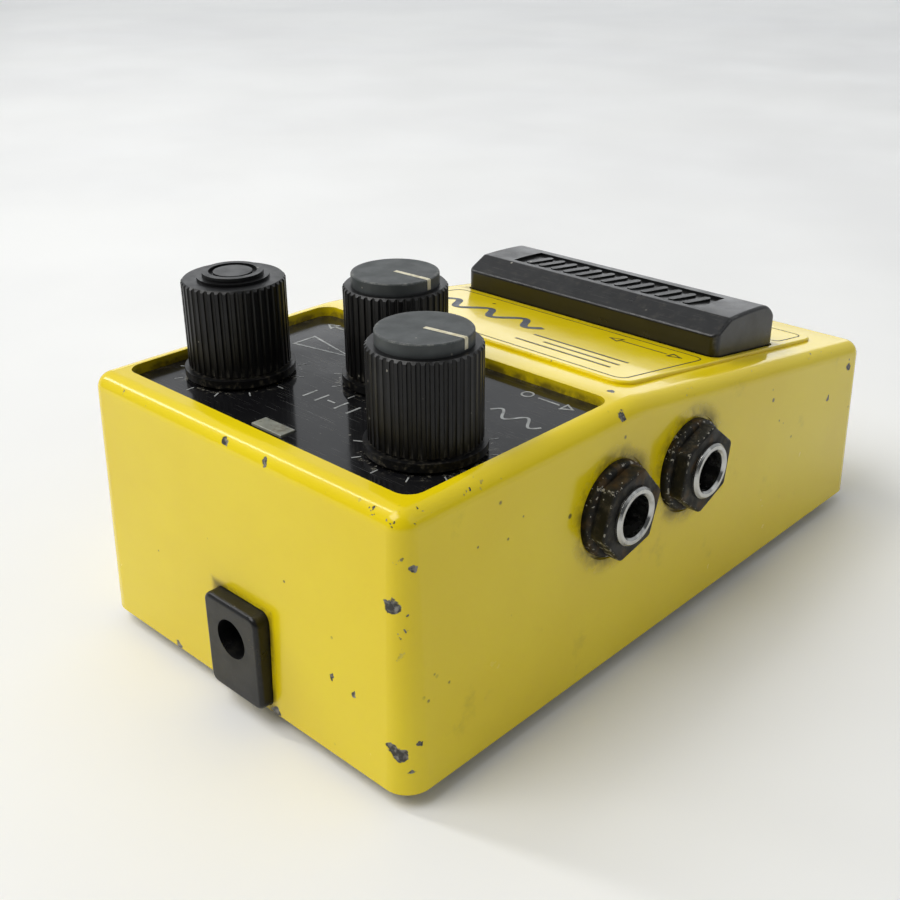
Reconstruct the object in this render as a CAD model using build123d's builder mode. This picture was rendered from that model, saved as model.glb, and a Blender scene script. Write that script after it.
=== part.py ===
from build123d import *
import os
from math import radians, tan

os.makedirs("parts", exist_ok=True)

# A compact guitar effects pedal. +Z is up, -Y is the player's side (foot bar), +Y the rear
# (knobs, power socket), -X the side with two outputs and +X the side with the input.
# Heights "h" are measured from the casing's bottom rim, which stands FOOT_H above the floor.
# All sizes are in millimetres.

# ------------------------------------------------------------------ casing
CASE_W = 70.0  # width of the bottom rim, along X
CASE_L = 122.0  # length of the bottom rim, along Y
REAR_H = 41.0  # height of the flat rear part of the top
SLOPE = 8.53  # fall of the sloping top towards the player, degrees
CREST_AHEAD = 2.8  # the turn from flat to sloping top, ahead of the panel
CREST_R = 36.0  # rounding of that turn
DRAFT = 1.86  # lean of the four outer walls, degrees
CORNER_R = 4.0  # upright corners, at the rim
INNER_CORNER_R = 2.0
EDGE_R = 2.6  # rounding of the top edges
WALL = 2.5  # thickness of the side walls
SLOPE_WALL = 2.8  # upright thickness of the sloping top
RECESS_WALL = 2.2  # thickness of the top under the control panel
THROUGH = 1.0  # a cut starts this far outside what it goes through

# ------------------------------------------------------------------ control panel
PANEL_SIDE = 4.35  # recess for the panel, from the rim's sides
PANEL_BACK = 5.6  # recess, from the rim's rear
PANEL_L = 40.6  # recess, along Y
PANEL_CORNER_R = 2.6
PANEL_DROP = 1.6  # panel surface below the rim of the recess
PANEL_T = 0.5
PANEL_FIT = 0.15  # gap around the panel in its recess

# ------------------------------------------------------------------ raised name pad
PAD_SIDE = 6.4  # pad, from the rim's sides
PAD_AHEAD = 3.0  # pad, ahead of the turn in the top
PAD_SHORT = 10.0  # pad, from the rim's front
PAD_RISE = 0.6
PAD_ROOT = 1.0
PAD_CORNER_R = 3.0
PAD_EDGE_R = 0.4

# ------------------------------------------------------------------ base
PLATE_T = 1.2
PLATE_LIP = 1.1  # rim of the casing left outside the plate
PLATE_FIT = 0.1
BOSS_INSET = 5.2  # screw bosses, from the outside of the rim
BOSS_R = 3.5
BOSS_TOP = 24.0
SCREW_R = 1.45
SCREW_L = 9.0
SCREW_TIP_ROOM = 1.0
SCREW_HEAD_R = 2.75
SCREW_HEAD_T = 1.5
SCREW_FIT = 0.03  # threads are left plain and clear by this much
SCREW_HOLE_FIT = 0.2
FOOT_H = 2.5
FOOT_R = 6.0
FOOT_SIDE = 11.0  # feet, from the rim's sides
FOOT_END = 15.0  # feet, from the rim's ends

# ------------------------------------------------------------------ knobs and pots
KNOB_SIDE = 10.65  # outer knobs, from the sides of the recess
KNOB_BACK = 13.7  # outer knobs, from the rear of the recess
MID_KNOB_FRONT = 12.7  # middle knob, from the front of the recess
POINTER_LEFT = 188.0  # direction of each pointer, degrees from +X
POINTER_MIDDLE = 184.0
KNOB_R = 7.75
KNOB_GAP = 0.5  # between the knob and the panel
COLLAR_R = 8.4
COLLAR_T = 1.15
NECK_R = 7.3
NECK_T = 0.35
KNOB_BODY_T = 13.2  # fluted length
FLUTES = 42
FLUTE_R = 0.36
FLUTE_OUT = 0.06  # flute centres outside the knob's radius
SHOULDER_R = 0.35
STEP_R, STEP_T = 5.4, 0.4  # raised rings on the top of a knob, hidden by its cap
RING_R, RING_BORE_R, RING_T = 4.55, 3.6, 1.0
RING_FLOOR = 0.5
DISC_R, DISC_T = 2.9, 0.9
CAP_R = 6.5
CAP_T = 1.8
CAP_EDGE_R = 0.25
CAP_FIT = 0.1
MARK_W = 0.7  # inlaid pointer
MARK_D = 0.3
MARK_FIT = 0.01
MARK_PROUD = 0.02
SHAFT_R = 3.0
SHAFT_FLAT = 1.5  # distance of the flat from the axis
SHAFT_FIT = 0.03
SHAFT_FLAT_L = 9.0
SHAFT_TIP_GAP = 0.3
BORE_ROOF = 1.2
BUSH_WALL = 0.5
BUSH_L = 6.0
BUSH_RUN = 0.05  # running clearance of the shaft in its bush
BUSH_HOLE_FIT = 0.15
POT_R = 8.0
POT_T = 7.2
POT_SHELL = 1.0
ROTOR_GAP = 0.6
ROTOR_T = 1.4
ROTOR_LIFT = 1.2
NUT_WALL = 1.5  # least wall of a pot's nut
NUT_T = 2.0
WASHER_WALL = 2.1
WASHER_T = 0.4
NUT_ROOM_WALL = 0.6  # knob's neck round the hollow for its nut
NUT_ROOM_T = 3.2
TERMINAL_W = 0.8
TERMINAL_PITCH = 5.0
TERMINAL_INSET = 1.8  # terminals, from the edge of their pot
PIN_TIP = 1.0  # how far soldered legs and pins stand through a board

# ------------------------------------------------------------------ indicator lamp
LED_BACK = 3.9  # lamp, from the rear of the recess
LED_X_SIZE = 6.4
LED_Y_SIZE = 2.6
LED_PROUD = 0.25
LED_FIT = 0.15
LED_EDGE_R = 0.15
LED_FLANGE, LED_FLANGE_T = 0.5, 1.2
LED_DROP = 2.0  # underside of the lamp below the casing's top wall
LED_LEG = 0.6
LED_LEG_PITCH = 2.54

# ------------------------------------------------------------------ quarter inch jacks
JACK_BACK = 2.9  # rear jacks, behind the front of the recess
JACK_PITCH = 19.5  # between the two outputs
JACK_H = 26.0  # jacks' axes above the rim
JACK_BORE_R = 3.25
SLEEVE_WALL = 1.25
SLEEVE_PROUD = 4.5  # chrome face, from the seat of the nut
SLEEVE_CHAMFER = 0.35
SLEEVE_COLLAR = 0.7  # step of the collar that the nut pulls against
SLEEVE_COLLAR_T = 1.0
JACK_NUT_WALL = 1.7
JACK_NUT_FLANGE = 1.2  # flange beyond the nut's flats
JACK_NUT_FLANGE_T = 1.5
JACK_NUT_T = 3.7
JACK_NUT_CORNER_R = 1.0
JACK_NUT_EDGE_R = 0.4
JACK_NUT_TURNS = {"rear": 12.0, "front": 22.0, "input": 5.0}  # how far each nut is turned
SPOT_FIT = 0.5  # flat seat for the nut, beyond its flange
SEAT_CUT = 0.1  # least depth of a flat seat in a leaning wall
JACK_HOLE_FIT = 0.2
JACK_BODY_L = 23.4
JACK_BODY_SIDE = 0.8  # body's wall beside the sleeve's collar
JACK_BODY_TALL = 2.6  # how much taller than wide the body is
JACK_BODY_R = 0.8
JACK_SHELL = 1.4
JACK_END_FIT = 0.2
JACK_ROOM = 1.35  # room round the plug inside the body
LEAF_W = 3.0
LEAF_T = 0.35
LEAF_SLOT = 0.3
LEAF_BEND = 3.0  # lowest point of the contact, from the inner end of the body
LEAF_L = 14.0
LEAF_FALL = 2.4
LEAF_HOOK = 1.1
LEAF_TOUCH = 0.3  # left between the contact and the bore

# ------------------------------------------------------------------ power socket
DC_X = -1.5
DC_PROUD = 1.9  # face of the socket beyond the bottom rim
DC_PLATE_W = 12.0
DC_PLATE_BOTTOM = 0.7
DC_PLATE_TOP = 16.3
DC_PLATE_R = 1.5
DC_EDGE_R = 0.7
DC_FIT = 0.15
DC_H = 10.6
DC_HOLE_R = 3.1
DC_HOLE_L = 11.0
DC_PIN_R = 1.05
DC_PIN_INSET = 2.4
DC_BODY_SIDE = 1.4  # wall beside the hole
DC_BODY_TALL = 1.6  # how much taller than wide the body is
DC_BODY_L = 13.5
DC_TAIL = 1.5  # soldered tails behind the body
DC_LEAF_W, DC_LEAF_T = 1.4, 0.35
DC_LEAF_DROP = 0.7  # contact below the hole's wall
DC_LEAF_INSET = 4.5
DC_LEAF_ROOM_W, DC_LEAF_ROOM_T = 2.6, 2.4
DC_MOUTH_L = 3.5  # plain round mouth ahead of that room
DC_SLOT_W, DC_SLOT_T = 1.6, 0.6

# ------------------------------------------------------------------ foot bar and its switch
BAR_SIDE = 7.6  # bar, from the rim's sides
BAR_AHEAD = 23.5  # bar, from the rim's front
BAR_L = 19.6
BAR_BEVEL_RISE = 5.65  # heights above the sloping top at the middle of the bar
BAR_TOP_RISE = 7.75
BAR_BROW_RISE = 7.35
BAR_CHEEK_RISE = 6.05
BAR_NOSE_RISE = 2.95
BAR_BEVEL_L = 4.4
BAR_BROW_L = 5.3
BAR_CHEEK_L = 1.9
BAR_CROWN = 0.12
BAR_CORNER_R = 1.5
BAR_EDGE_R = 0.6
BAR_WALL = 2.0
BAR_ROOF = 3.8
BAR_FIT = 0.3
BAR_LIP = 1.2
BAR_LIP_T = 1.3
BAR_STOP_GAP = 0.05
BAR_TRAVEL = 2.0
FIELD_SIDE = 6.9  # sunk field on the top of the bar, from its ends
FIELD_REAR_RIM = 1.1
FIELD_FRONT_RIM = 0.8
FIELD_DROP = 0.45
GRIP_PITCH = 2.9
GRIP_L = 5.6
GRIP_W = 1.3
GRIP_ROOT = 1.0
GRIP_RISE = 0.55
GRIP_LEAN = 20.0
SPRING_SIDE = 10.4  # springs, from the ends of the bar
SPRING_R = 3.5
SPRING_WIRE = 0.7
SPRING_PITCH = 1.9
SPRING_SEAT_L = 5.5
SPRING_SEAT_OVER = 0.9  # seat beyond the spring's radius
SPRING_SEAT_ROOT = 0.7
SPRING_PIN_FIT = 0.5
SPRING_PIN_L = 3.0
SPRING_GAP = 0.02
SWITCH_SIZE = 12.0
SWITCH_T = 6.0
SWITCH_CORNER_R = 1.0
SWITCH_ROOF = 1.2
PLUNGER_R = 2.0
PLUNGER_RUN = 0.08
PLUNGER_HEAD_R = 3.0
PLUNGER_HEAD_T = 1.0
PLUNGER_STOP_GAP = 0.1
PLUNGER_SPARE = 0.9  # room left under the plunger at the end of its travel
PLUNGER_PROUD = 3.0
PLUNGER_TOUCH = 0.05
SWITCH_ROOM_FIT = 0.4

# ------------------------------------------------------------------ boards
BOARD_T = 1.6
MAIN_SIDE = 2.2  # main board, from the inside of the side walls
MAIN_BACK = 16.5  # main board, from the rim's rear
MAIN_AHEAD = 4.9  # main board, behind the bar's rear face
CONTROL_SIDE = 3.5  # control board, from the inside of the side walls
CONTROL_BACK = 0.9  # control board, from the rear of the recess
CONTROL_AHEAD = 12.2  # control board, ahead of the outer knobs
CONTROL_TAB_X = 13.2
CONTROL_TAB_AHEAD = 8.0  # its tab, ahead of the middle knob
SWITCH_BOARD_GAP = 2.3  # switch board above the battery
SWITCH_BOARD_SIDE = 3.4  # switch board, from the ends of the bar
PILLAR_SIDE = 4.0  # pillars, from the ends of the switch board
PILLAR_AHEAD = 15.7  # pillars, from the middle of the bar
PILLAR_BEHIND = 14.5
PILLAR_EDGE_FRONT = 3.6  # switch board beyond its pillars
PILLAR_EDGE_REAR = 2.9
PILLAR_R = 2.5
PILLAR_SCREW_R = 1.0
PILLAR_SCREW_L = 7.0
PILLAR_TIP_ROOM = 1.0
PILLAR_HEAD_R = 2.0
PILLAR_HEAD_T = 1.2
HEADER_BACK = 10.5  # header, behind the control board's front edge
HEADER_PINS = 8
HEADER_PITCH = 2.54
HEADER_PIN = 0.64
PIN_FIT = 0.05
CHIPS = ((-16.0, 30.0, 7), (14.0, 30.0, 4), (14.0, 12.0, 4))  # x, y, legs a side
CHIP_W, CHIP_T, CHIP_LIFT, CHIP_ROW = 6.4, 3.3, 0.5, 7.62
CHIP_LEG_T, CHIP_LEG_W, CHIP_LEG_ROOT = 0.4, 0.6, 0.3
CAN_SPOTS = [(-24.0, 2.0), (-24.0, 11.0), (-16.0, 14.5), (-4.0, 18.0), (24.0, 22.0), (-4.0, 28.0)]
CAN_R, CAN_T, CAN_EDGE_R = 3.1, 10.5, 0.5
RESISTOR_SPOTS = [(x, y) for x in (-13.0, 0.0, 22.0) for y in (-8.0, -4.0, 0.0, 4.0)]
RESISTOR_R, RESISTOR_L, RESISTOR_GAP = 1.15, 6.2, 0.3
LEAD_W, LEAD_SPAN = 0.5, 10.0

# ------------------------------------------------------------------ battery and wires
BATTERY_X, BATTERY_Y, BATTERY_H = 48.5, 26.5, 17.5
BATTERY_SIDE = 3.0  # battery, from the inside of the side wall
BATTERY_AHEAD = 9.2  # battery, from the rim's front
BATTERY_R = 2.0
FOAM_T = 1.4
FOAM_INSET_X, FOAM_INSET_Y = 1.0, 0.5
STUD_PITCH = 12.7
STUD_R = 2.9
STUD_L = 2.8
SNAP_T = 3.4
SNAP_FIT = 0.1
SNAP_INSET_Y, SNAP_INSET_H = 0.5, 2.0
WIRE_R = 0.6
LEAD_SIDE = 3.5  # battery leads, from the inside of the side wall
LEAD_BEND_R = 1.7
# each lead: sideways step, start from the studs' middle (y, h), rise behind the board's front edge
LEADS = {"red": (0.0, 8.0, 1.2, 3.0), "black": (1.2, 4.0, -1.8, 6.5)}
DC_WIRE_BEND_R = 2.5
DC_WIRES = {"red": (0.0, 3.0), "black": (DC_HOLE_R + DC_LEAF_DROP, 6.5)}  # drop, rise place
RIBBON_W, RIBBON_T = 5.0, 0.9
RIBBON_START = 2.9  # behind the bar's rear face
RIBBON_RISE = 3.2
RIBBON_END = 1.1  # behind the switch board's rear edge
RIBBON_BEND_R = 2.0

# ------------------------------------------------------------------ worked out from the above
DRAFT_TAN = tan(radians(DRAFT))
SLOPE_TAN = tan(radians(SLOPE))
RIM_Z = FOOT_H
CASE_Y = -DC_PROUD / 2  # the casing's middle, so that the whole object is centred on Y = 0
FAR = 2 * CASE_L  # longer than anything here, for cuts that run right through
INSIDE_X = CASE_W / 2 - WALL  # inside of the side walls, at the rim

PANEL_X = CASE_W - 2 * PANEL_SIDE
PANEL_REAR = CASE_L / 2 - PANEL_BACK
PANEL_FRONT = PANEL_REAR - PANEL_L
PANEL_MID = (PANEL_REAR + PANEL_FRONT) / 2
RECESS_H = REAR_H - PANEL_DROP - PANEL_T
PANEL_H = RECESS_H + PANEL_T
CEILING_H = RECESS_H - RECESS_WALL
CREST_Y = PANEL_FRONT - CREST_AHEAD
PAD_W = CASE_W - 2 * PAD_SIDE
PAD_REAR = CREST_Y - PAD_AHEAD
PAD_FRONT = PAD_SHORT - CASE_L / 2
FOOT_X = CASE_W / 2 - FOOT_SIDE
FOOT_Y = CASE_L / 2 - FOOT_END

KNOB_X = PANEL_X / 2 - KNOB_SIDE
KNOB_Y = PANEL_REAR - KNOB_BACK
MID_KNOB_Y = PANEL_FRONT + MID_KNOB_FRONT
LED_Y = PANEL_REAR - LED_BACK
LED_BASE = CEILING_H - LED_DROP
BUSH_R = SHAFT_R + BUSH_WALL
NUT_AF = 2 * (BUSH_R + NUT_WALL)
WASHER_R = BUSH_R + WASHER_WALL
NUT_ROOM_R = NECK_R - NUT_ROOM_WALL
ROTOR_R = POT_R - POT_SHELL - ROTOR_GAP
TERMINAL_Y = POT_R - TERMINAL_INSET
POT_TOP = CEILING_H
POT_H = POT_TOP - POT_T
CONTROL_H = POT_H - BOARD_T
KNOB_H = PANEL_H + KNOB_GAP
FLUTE_H = KNOB_H + COLLAR_T + NECK_T
SHOULDER_H = FLUTE_H + KNOB_BODY_T
CAP_TOP = SHOULDER_H + CAP_T
BORE_TOP = SHOULDER_H - BORE_ROOF
SHAFT_TOP = BORE_TOP - SHAFT_TIP_GAP

SLEEVE_R = JACK_BORE_R + SLEEVE_WALL
SLEEVE_COLLAR_R = SLEEVE_R + SLEEVE_COLLAR
JACK_NUT_AF = 2 * (SLEEVE_R + JACK_NUT_WALL)
JACK_NUT_R = JACK_NUT_AF / 2 + JACK_NUT_FLANGE
SPOT_R = JACK_NUT_R + SPOT_FIT
JACK_ROOM_R = JACK_BORE_R + JACK_ROOM
JACK_BODY_W = 2 * (SLEEVE_COLLAR_R + JACK_BODY_SIDE)
JACK_BODY_H = JACK_BODY_W + JACK_BODY_TALL
JACK_REAR_Y = PANEL_FRONT + JACK_BACK
JACK_FRONT_Y = JACK_REAR_Y - JACK_PITCH
JACK_SEAT_X = CASE_W / 2 - DRAFT_TAN * (JACK_H + SPOT_R) - SEAT_CUT
JACK_FACE_X = JACK_SEAT_X + SLEEVE_PROUD
JACK_BODY_X = INSIDE_X - DRAFT_TAN * (JACK_H + JACK_BODY_H / 2)
JACK_END = JACK_BODY_X - JACK_BODY_L
LEAF_TAIL_X = JACK_END + LEAF_BEND
MAIN_TOP = JACK_H - JACK_BODY_H / 2
MAIN_H = MAIN_TOP - BOARD_T

DC_FACE_Y = CASE_L / 2 + DC_PROUD
DC_SEAT_Y = CASE_L / 2 - DRAFT_TAN * (DC_PLATE_TOP + DC_FIT) - SEAT_CUT
DC_BACK_Y = DC_SEAT_Y - DC_BODY_L
DC_BODY_W = 2 * (DC_HOLE_R + DC_BODY_SIDE)
DC_BODY_H = DC_BODY_W + DC_BODY_TALL

BATTERY_LEFT = BATTERY_SIDE - INSIDE_X
BATTERY_FRONT = BATTERY_AHEAD - CASE_L / 2
BATTERY_MID_X = BATTERY_LEFT + BATTERY_X / 2
BATTERY_MID_Y = BATTERY_FRONT + BATTERY_Y / 2
BATTERY_BOTTOM = PLATE_T + FOAM_T
BATTERY_END = BATTERY_LEFT + BATTERY_X
STUD_H = BATTERY_BOTTOM + BATTERY_H / 2
SNAP_X = BATTERY_END + STUD_L + SNAP_FIT
LEAD_X = INSIDE_X - LEAD_SIDE

BAR_W = CASE_W - 2 * BAR_SIDE
BAR_FRONT = BAR_AHEAD - CASE_L / 2
BAR_REAR = BAR_FRONT + BAR_L
BAR_MID = (BAR_REAR + BAR_FRONT) / 2
BAR_BASE_H = REAR_H - SLOPE_TAN * (CREST_Y - BAR_MID)
BAR_BEVEL_H = BAR_BASE_H + BAR_BEVEL_RISE
BAR_TOP_Y, BAR_TOP_H = BAR_REAR - BAR_BEVEL_L, BAR_BASE_H + BAR_TOP_RISE
BAR_BROW_Y, BAR_BROW_H = BAR_FRONT + BAR_BROW_L, BAR_BASE_H + BAR_BROW_RISE
BAR_CHEEK_Y, BAR_CHEEK_H = BAR_FRONT + BAR_CHEEK_L, BAR_BASE_H + BAR_CHEEK_RISE
BAR_NOSE_H = BAR_BASE_H + BAR_NOSE_RISE
BAR_ROOF_H = BAR_TOP_H - BAR_ROOF
FIELD_X = BAR_W - 2 * FIELD_SIDE
FIELD_REAR = BAR_TOP_Y - FIELD_REAR_RIM
FIELD_FRONT = BAR_BROW_Y + FIELD_FRONT_RIM
GRIP_COUNT = int((FIELD_X - GRIP_L / 2) / GRIP_PITCH)
SPRING_X = BAR_W / 2 - SPRING_SIDE
SPRING_SEAT_H = BAR_ROOF_H - SPRING_SEAT_L
SPRING_SEAT_R = SPRING_R + SPRING_SEAT_OVER
SPRING_PIN_R = SPRING_R - SPRING_WIRE - SPRING_PIN_FIT
SWITCH_BOARD_H = BATTERY_BOTTOM + BATTERY_H + SWITCH_BOARD_GAP
SWITCH_BOARD_TOP = SWITCH_BOARD_H + BOARD_T
SWITCH_TOP = SWITCH_BOARD_TOP + SWITCH_T
PLUNGER_TOP_H = SWITCH_TOP + PLUNGER_PROUD
PLUNGER_ROOM_TOP = SWITCH_TOP - SWITCH_ROOF
PLUNGER_LOW = PLUNGER_ROOM_TOP - PLUNGER_STOP_GAP - PLUNGER_HEAD_T
PLUNGER_FLOOR = PLUNGER_LOW - BAR_TRAVEL - PLUNGER_SPARE

MAIN_X = 2 * (INSIDE_X - MAIN_SIDE)
MAIN_REAR = CASE_L / 2 - MAIN_BACK
MAIN_FRONT = BAR_REAR + MAIN_AHEAD
CONTROL_X = 2 * (INSIDE_X - CONTROL_SIDE)
CONTROL_REAR = PANEL_REAR - CONTROL_BACK
CONTROL_FRONT = KNOB_Y - CONTROL_AHEAD
CONTROL_TAB_FRONT = MID_KNOB_Y - CONTROL_TAB_AHEAD
HEADER_Y = CONTROL_FRONT + HEADER_BACK
SWITCH_BOARD_X = BAR_W - 2 * SWITCH_BOARD_SIDE
PILLAR_X = SWITCH_BOARD_X / 2 - PILLAR_SIDE
PILLAR_FRONT = BAR_MID - PILLAR_AHEAD
PILLAR_REAR = BAR_MID + PILLAR_BEHIND
SWITCH_BOARD_FRONT = PILLAR_FRONT - PILLAR_EDGE_FRONT
SWITCH_BOARD_REAR = PILLAR_REAR + PILLAR_EDGE_REAR

KNOBS = {
    "left": (-KNOB_X, KNOB_Y, POINTER_LEFT),
    "middle": (0.0, MID_KNOB_Y, POINTER_MIDDLE),
    "right": (KNOB_X, KNOB_Y, POINTER_LEFT),
}
CAPPED = ("left", "middle")
JACKS = {"rear": (-1, JACK_REAR_Y), "front": (-1, JACK_FRONT_Y), "input": (1, JACK_REAR_Y)}
POT_SPOTS = [(x, y) for x, y, _ in KNOBS.values()]
# three terminals a pot; the middle pot's point the other way, over the wide part of the board
TERMINAL_SPOTS = [
    (x + k * TERMINAL_PITCH, y + (TERMINAL_Y if x == 0 else -TERMINAL_Y))
    for x, y in POT_SPOTS
    for k in (-1, 0, 1)
]
LED_SPOTS = [(-LED_LEG_PITCH / 2, LED_Y), (LED_LEG_PITCH / 2, LED_Y)]
BOSS_SPOTS = [
    (sx * (CASE_W / 2 - BOSS_INSET), sy * (CASE_L / 2 - BOSS_INSET)) for sx in (-1, 1) for sy in (-1, 1)
]
PILLAR_SPOTS = [(sx * PILLAR_X, y) for sx in (-1, 1) for y in (PILLAR_FRONT, PILLAR_REAR)]


def level(h, x=0.0, y=0.0):
    """Horizontal plane at height h, centred on a point of the casing's plan."""
    return Plane(origin=(x, CASE_Y + y, RIM_Z + h))


def turned(h, x, y, angle):
    """Horizontal plane at height h whose local x points in the given direction."""
    return level(h, x, y).rotated((0, 0, angle))


def lengthwise(x=0.0):
    """Upright plane along the casing: local x is +Y and local y is the height h."""
    return Plane(origin=(x, CASE_Y, RIM_Z), x_dir=(0, 1, 0), z_dir=(1, 0, 0))


def through_axis(x, y):
    """Upright plane through a vertical axis: local x is the radius, local y the height h."""
    return Plane(origin=(x, CASE_Y + y, RIM_Z), x_dir=(1, 0, 0), z_dir=(0, -1, 0))


def upright_axis(x, y):
    return Axis((x, CASE_Y + y, 0), (0, 0, 1))


def sideways(side, x, y, h):
    """Upright plane that faces out through a side wall; local y is up."""
    return Plane(origin=(side * x, CASE_Y + y, RIM_Z + h), x_dir=(0, side, 0), z_dir=(side, 0, 0))


def rearward(y, x=0.0, h=0.0):
    """Upright plane that faces out through the rear wall; local y is up."""
    return Plane(origin=(x, CASE_Y + y, RIM_Z + h), x_dir=(-1, 0, 0), z_dir=(0, 1, 0))


def slope_h(y):
    """Height of the sloping top's outer face at y."""
    return REAR_H - SLOPE_TAN * (CREST_Y - y)


def ceiling_h(y):
    """Height of the sloping top's inner face at y."""
    return slope_h(y) - SLOPE_WALL


def between(low, high):
    return (low + high) / 2


def save(piece, name):
    """Name a finished piece and write it to its own file."""
    piece.part.label = name
    export_step(piece.part, f"parts/{name}.step")


# ================================================================== casing
with BuildPart() as cavity:
    with BuildSketch(level(0)):
        RectangleRounded(CASE_W - 2 * WALL, CASE_L - 2 * WALL, INNER_CORNER_R)
    extrude(amount=2 * REAR_H, taper=DRAFT)
    step_y = PANEL_FRONT - WALL
    with BuildSketch(lengthwise()):
        with BuildLine():
            Polyline(
                (-CASE_L, ceiling_h(-CASE_L)),
                (CREST_Y, REAR_H - SLOPE_WALL),
                (step_y, REAR_H - SLOPE_WALL),
                (step_y, CEILING_H),
                (CASE_L, CEILING_H),
                (CASE_L, FAR),
                (-CASE_L, FAR),
                close=True,
            )
        make_face()
    extrude(amount=CASE_W, both=True, mode=Mode.SUBTRACT)

with BuildPart() as name_pad:
    with BuildSketch(level(0, 0, between(PAD_FRONT, PAD_REAR))):
        RectangleRounded(PAD_W, PAD_REAR - PAD_FRONT, PAD_CORNER_R)
    extrude(amount=2 * REAR_H)
    with BuildSketch(lengthwise()):
        with BuildLine():
            Polyline(
                (-CASE_L, slope_h(-CASE_L) - PAD_ROOT),
                (CASE_L, slope_h(CASE_L) - PAD_ROOT),
                (CASE_L, slope_h(CASE_L) + PAD_RISE),
                (-CASE_L, slope_h(-CASE_L) + PAD_RISE),
                close=True,
            )
        make_face()
    extrude(amount=CASE_W, both=True, mode=Mode.INTERSECT)
    fillet(name_pad.faces().sort_by(Axis.Z)[-1].edges(), PAD_EDGE_R)

with BuildPart() as housing:
    with BuildSketch(level(0)):
        RectangleRounded(CASE_W, CASE_L, CORNER_R)
    extrude(amount=1.2 * REAR_H, taper=DRAFT)
    with BuildSketch(lengthwise()):
        with BuildLine():
            crest = FilletPolyline(
                (-CASE_L, slope_h(-CASE_L)), (CREST_Y, REAR_H), (CASE_L, REAR_H), radius=CREST_R
            )
            Polyline(crest @ 1, (CASE_L, FAR), (-CASE_L, FAR), crest @ 0)
        make_face()
    extrude(amount=CASE_W, both=True, mode=Mode.SUBTRACT)
    top_faces = housing.faces().filter_by(lambda f: f.normal_at().Z > 0.9)
    seam_zone = CASE_L / 2 - 2 * EDGE_R - WALL
    top_edges = top_faces.edges().filter_by(
        lambda e: not (
            abs((e % 0.5).X) > 0.99 and abs((e @ 0.5).Y - CASE_Y) < seam_zone
        )
    )
    fillet(top_edges, EDGE_R)
    add(name_pad.part)
    add(cavity.part, mode=Mode.SUBTRACT)
    # control panel recess, with its lamp window and the three holes for the pot bushes
    with BuildSketch(level(RECESS_H, 0, PANEL_MID)):
        RectangleRounded(PANEL_X, PANEL_L, PANEL_CORNER_R)
    extrude(amount=REAR_H, mode=Mode.SUBTRACT)
    with BuildSketch(level(CEILING_H - THROUGH)):
        with Locations(*POT_SPOTS):
            Circle(BUSH_R + BUSH_HOLE_FIT)
        with Locations((0, LED_Y)):
            Rectangle(LED_X_SIZE + 2 * LED_FIT, LED_Y_SIZE + 2 * LED_FIT)
    extrude(amount=REAR_H, mode=Mode.SUBTRACT)
    # opening for the foot bar
    with BuildSketch(level(SWITCH_BOARD_TOP, 0, BAR_MID)):
        RectangleRounded(
            BAR_W + 2 * BAR_FIT, BAR_REAR - BAR_FRONT + 2 * BAR_FIT, BAR_CORNER_R + BAR_FIT
        )
    extrude(amount=REAR_H, mode=Mode.SUBTRACT)
    # corner bosses for the base screws, pillars for the switch board
    with BuildSketch(level(0)):
        with Locations(*BOSS_SPOTS):
            Circle(BOSS_R)
    extrude(amount=BOSS_TOP)
    for pillar_x, pillar_y in PILLAR_SPOTS:
        with BuildSketch(level(SWITCH_BOARD_TOP, pillar_x, pillar_y)):
            Circle(PILLAR_R)
        extrude(amount=ceiling_h(pillar_y) + SLOPE_WALL / 2 - SWITCH_BOARD_TOP)
        with BuildSketch(level(SWITCH_BOARD_TOP, pillar_x, pillar_y)):
            Circle(PILLAR_SCREW_R + SCREW_FIT)
        extrude(amount=PILLAR_SCREW_L, mode=Mode.SUBTRACT)
    with BuildSketch(level(0)):
        with Locations(*BOSS_SPOTS):
            Circle(SCREW_R + SCREW_FIT)
    extrude(amount=SCREW_L + SCREW_TIP_ROOM, mode=Mode.SUBTRACT)
    # rebate for the base plate
    with BuildSketch(level(0)):
        RectangleRounded(CASE_W - 2 * PLATE_LIP, CASE_L - 2 * PLATE_LIP, CORNER_R - PLATE_LIP)
    extrude(amount=PLATE_T, mode=Mode.SUBTRACT)
    # flat seats and holes for the jacks
    for jack_side, jack_y in JACKS.values():
        with BuildSketch(sideways(jack_side, JACK_SEAT_X, jack_y, JACK_H)):
            Circle(SPOT_R)
        extrude(amount=CASE_W, mode=Mode.SUBTRACT)
        with BuildSketch(sideways(jack_side, JACK_SEAT_X - 2 * WALL, jack_y, JACK_H)):
            Circle(SLEEVE_R + JACK_HOLE_FIT)
        extrude(amount=CASE_W, mode=Mode.SUBTRACT)
    # flat seat and hole for the power socket
    with BuildSketch(rearward(DC_SEAT_Y, DC_X, between(DC_PLATE_BOTTOM, DC_PLATE_TOP))):
        RectangleRounded(
            DC_PLATE_W + 2 * DC_FIT,
            DC_PLATE_TOP - DC_PLATE_BOTTOM + 2 * DC_FIT,
            DC_PLATE_R + DC_FIT,
        )
    extrude(amount=CASE_W, mode=Mode.SUBTRACT)
    with BuildSketch(rearward(DC_SEAT_Y - 2 * WALL, DC_X, DC_H)):
        Rectangle(DC_BODY_W + 2 * DC_FIT, DC_BODY_H + 2 * DC_FIT)
    extrude(amount=CASE_W, mode=Mode.SUBTRACT)
save(housing, "housing")

with BuildPart() as base_plate:
    with BuildSketch(level(0)):
        plate_inset = 2 * (PLATE_LIP + PLATE_FIT)
        RectangleRounded(CASE_W - plate_inset, CASE_L - plate_inset, CORNER_R - PLATE_LIP)
        with Locations(*BOSS_SPOTS):
            Circle(SCREW_R + SCREW_HOLE_FIT, mode=Mode.SUBTRACT)
    extrude(amount=PLATE_T)
save(base_plate, "base_plate")


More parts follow.
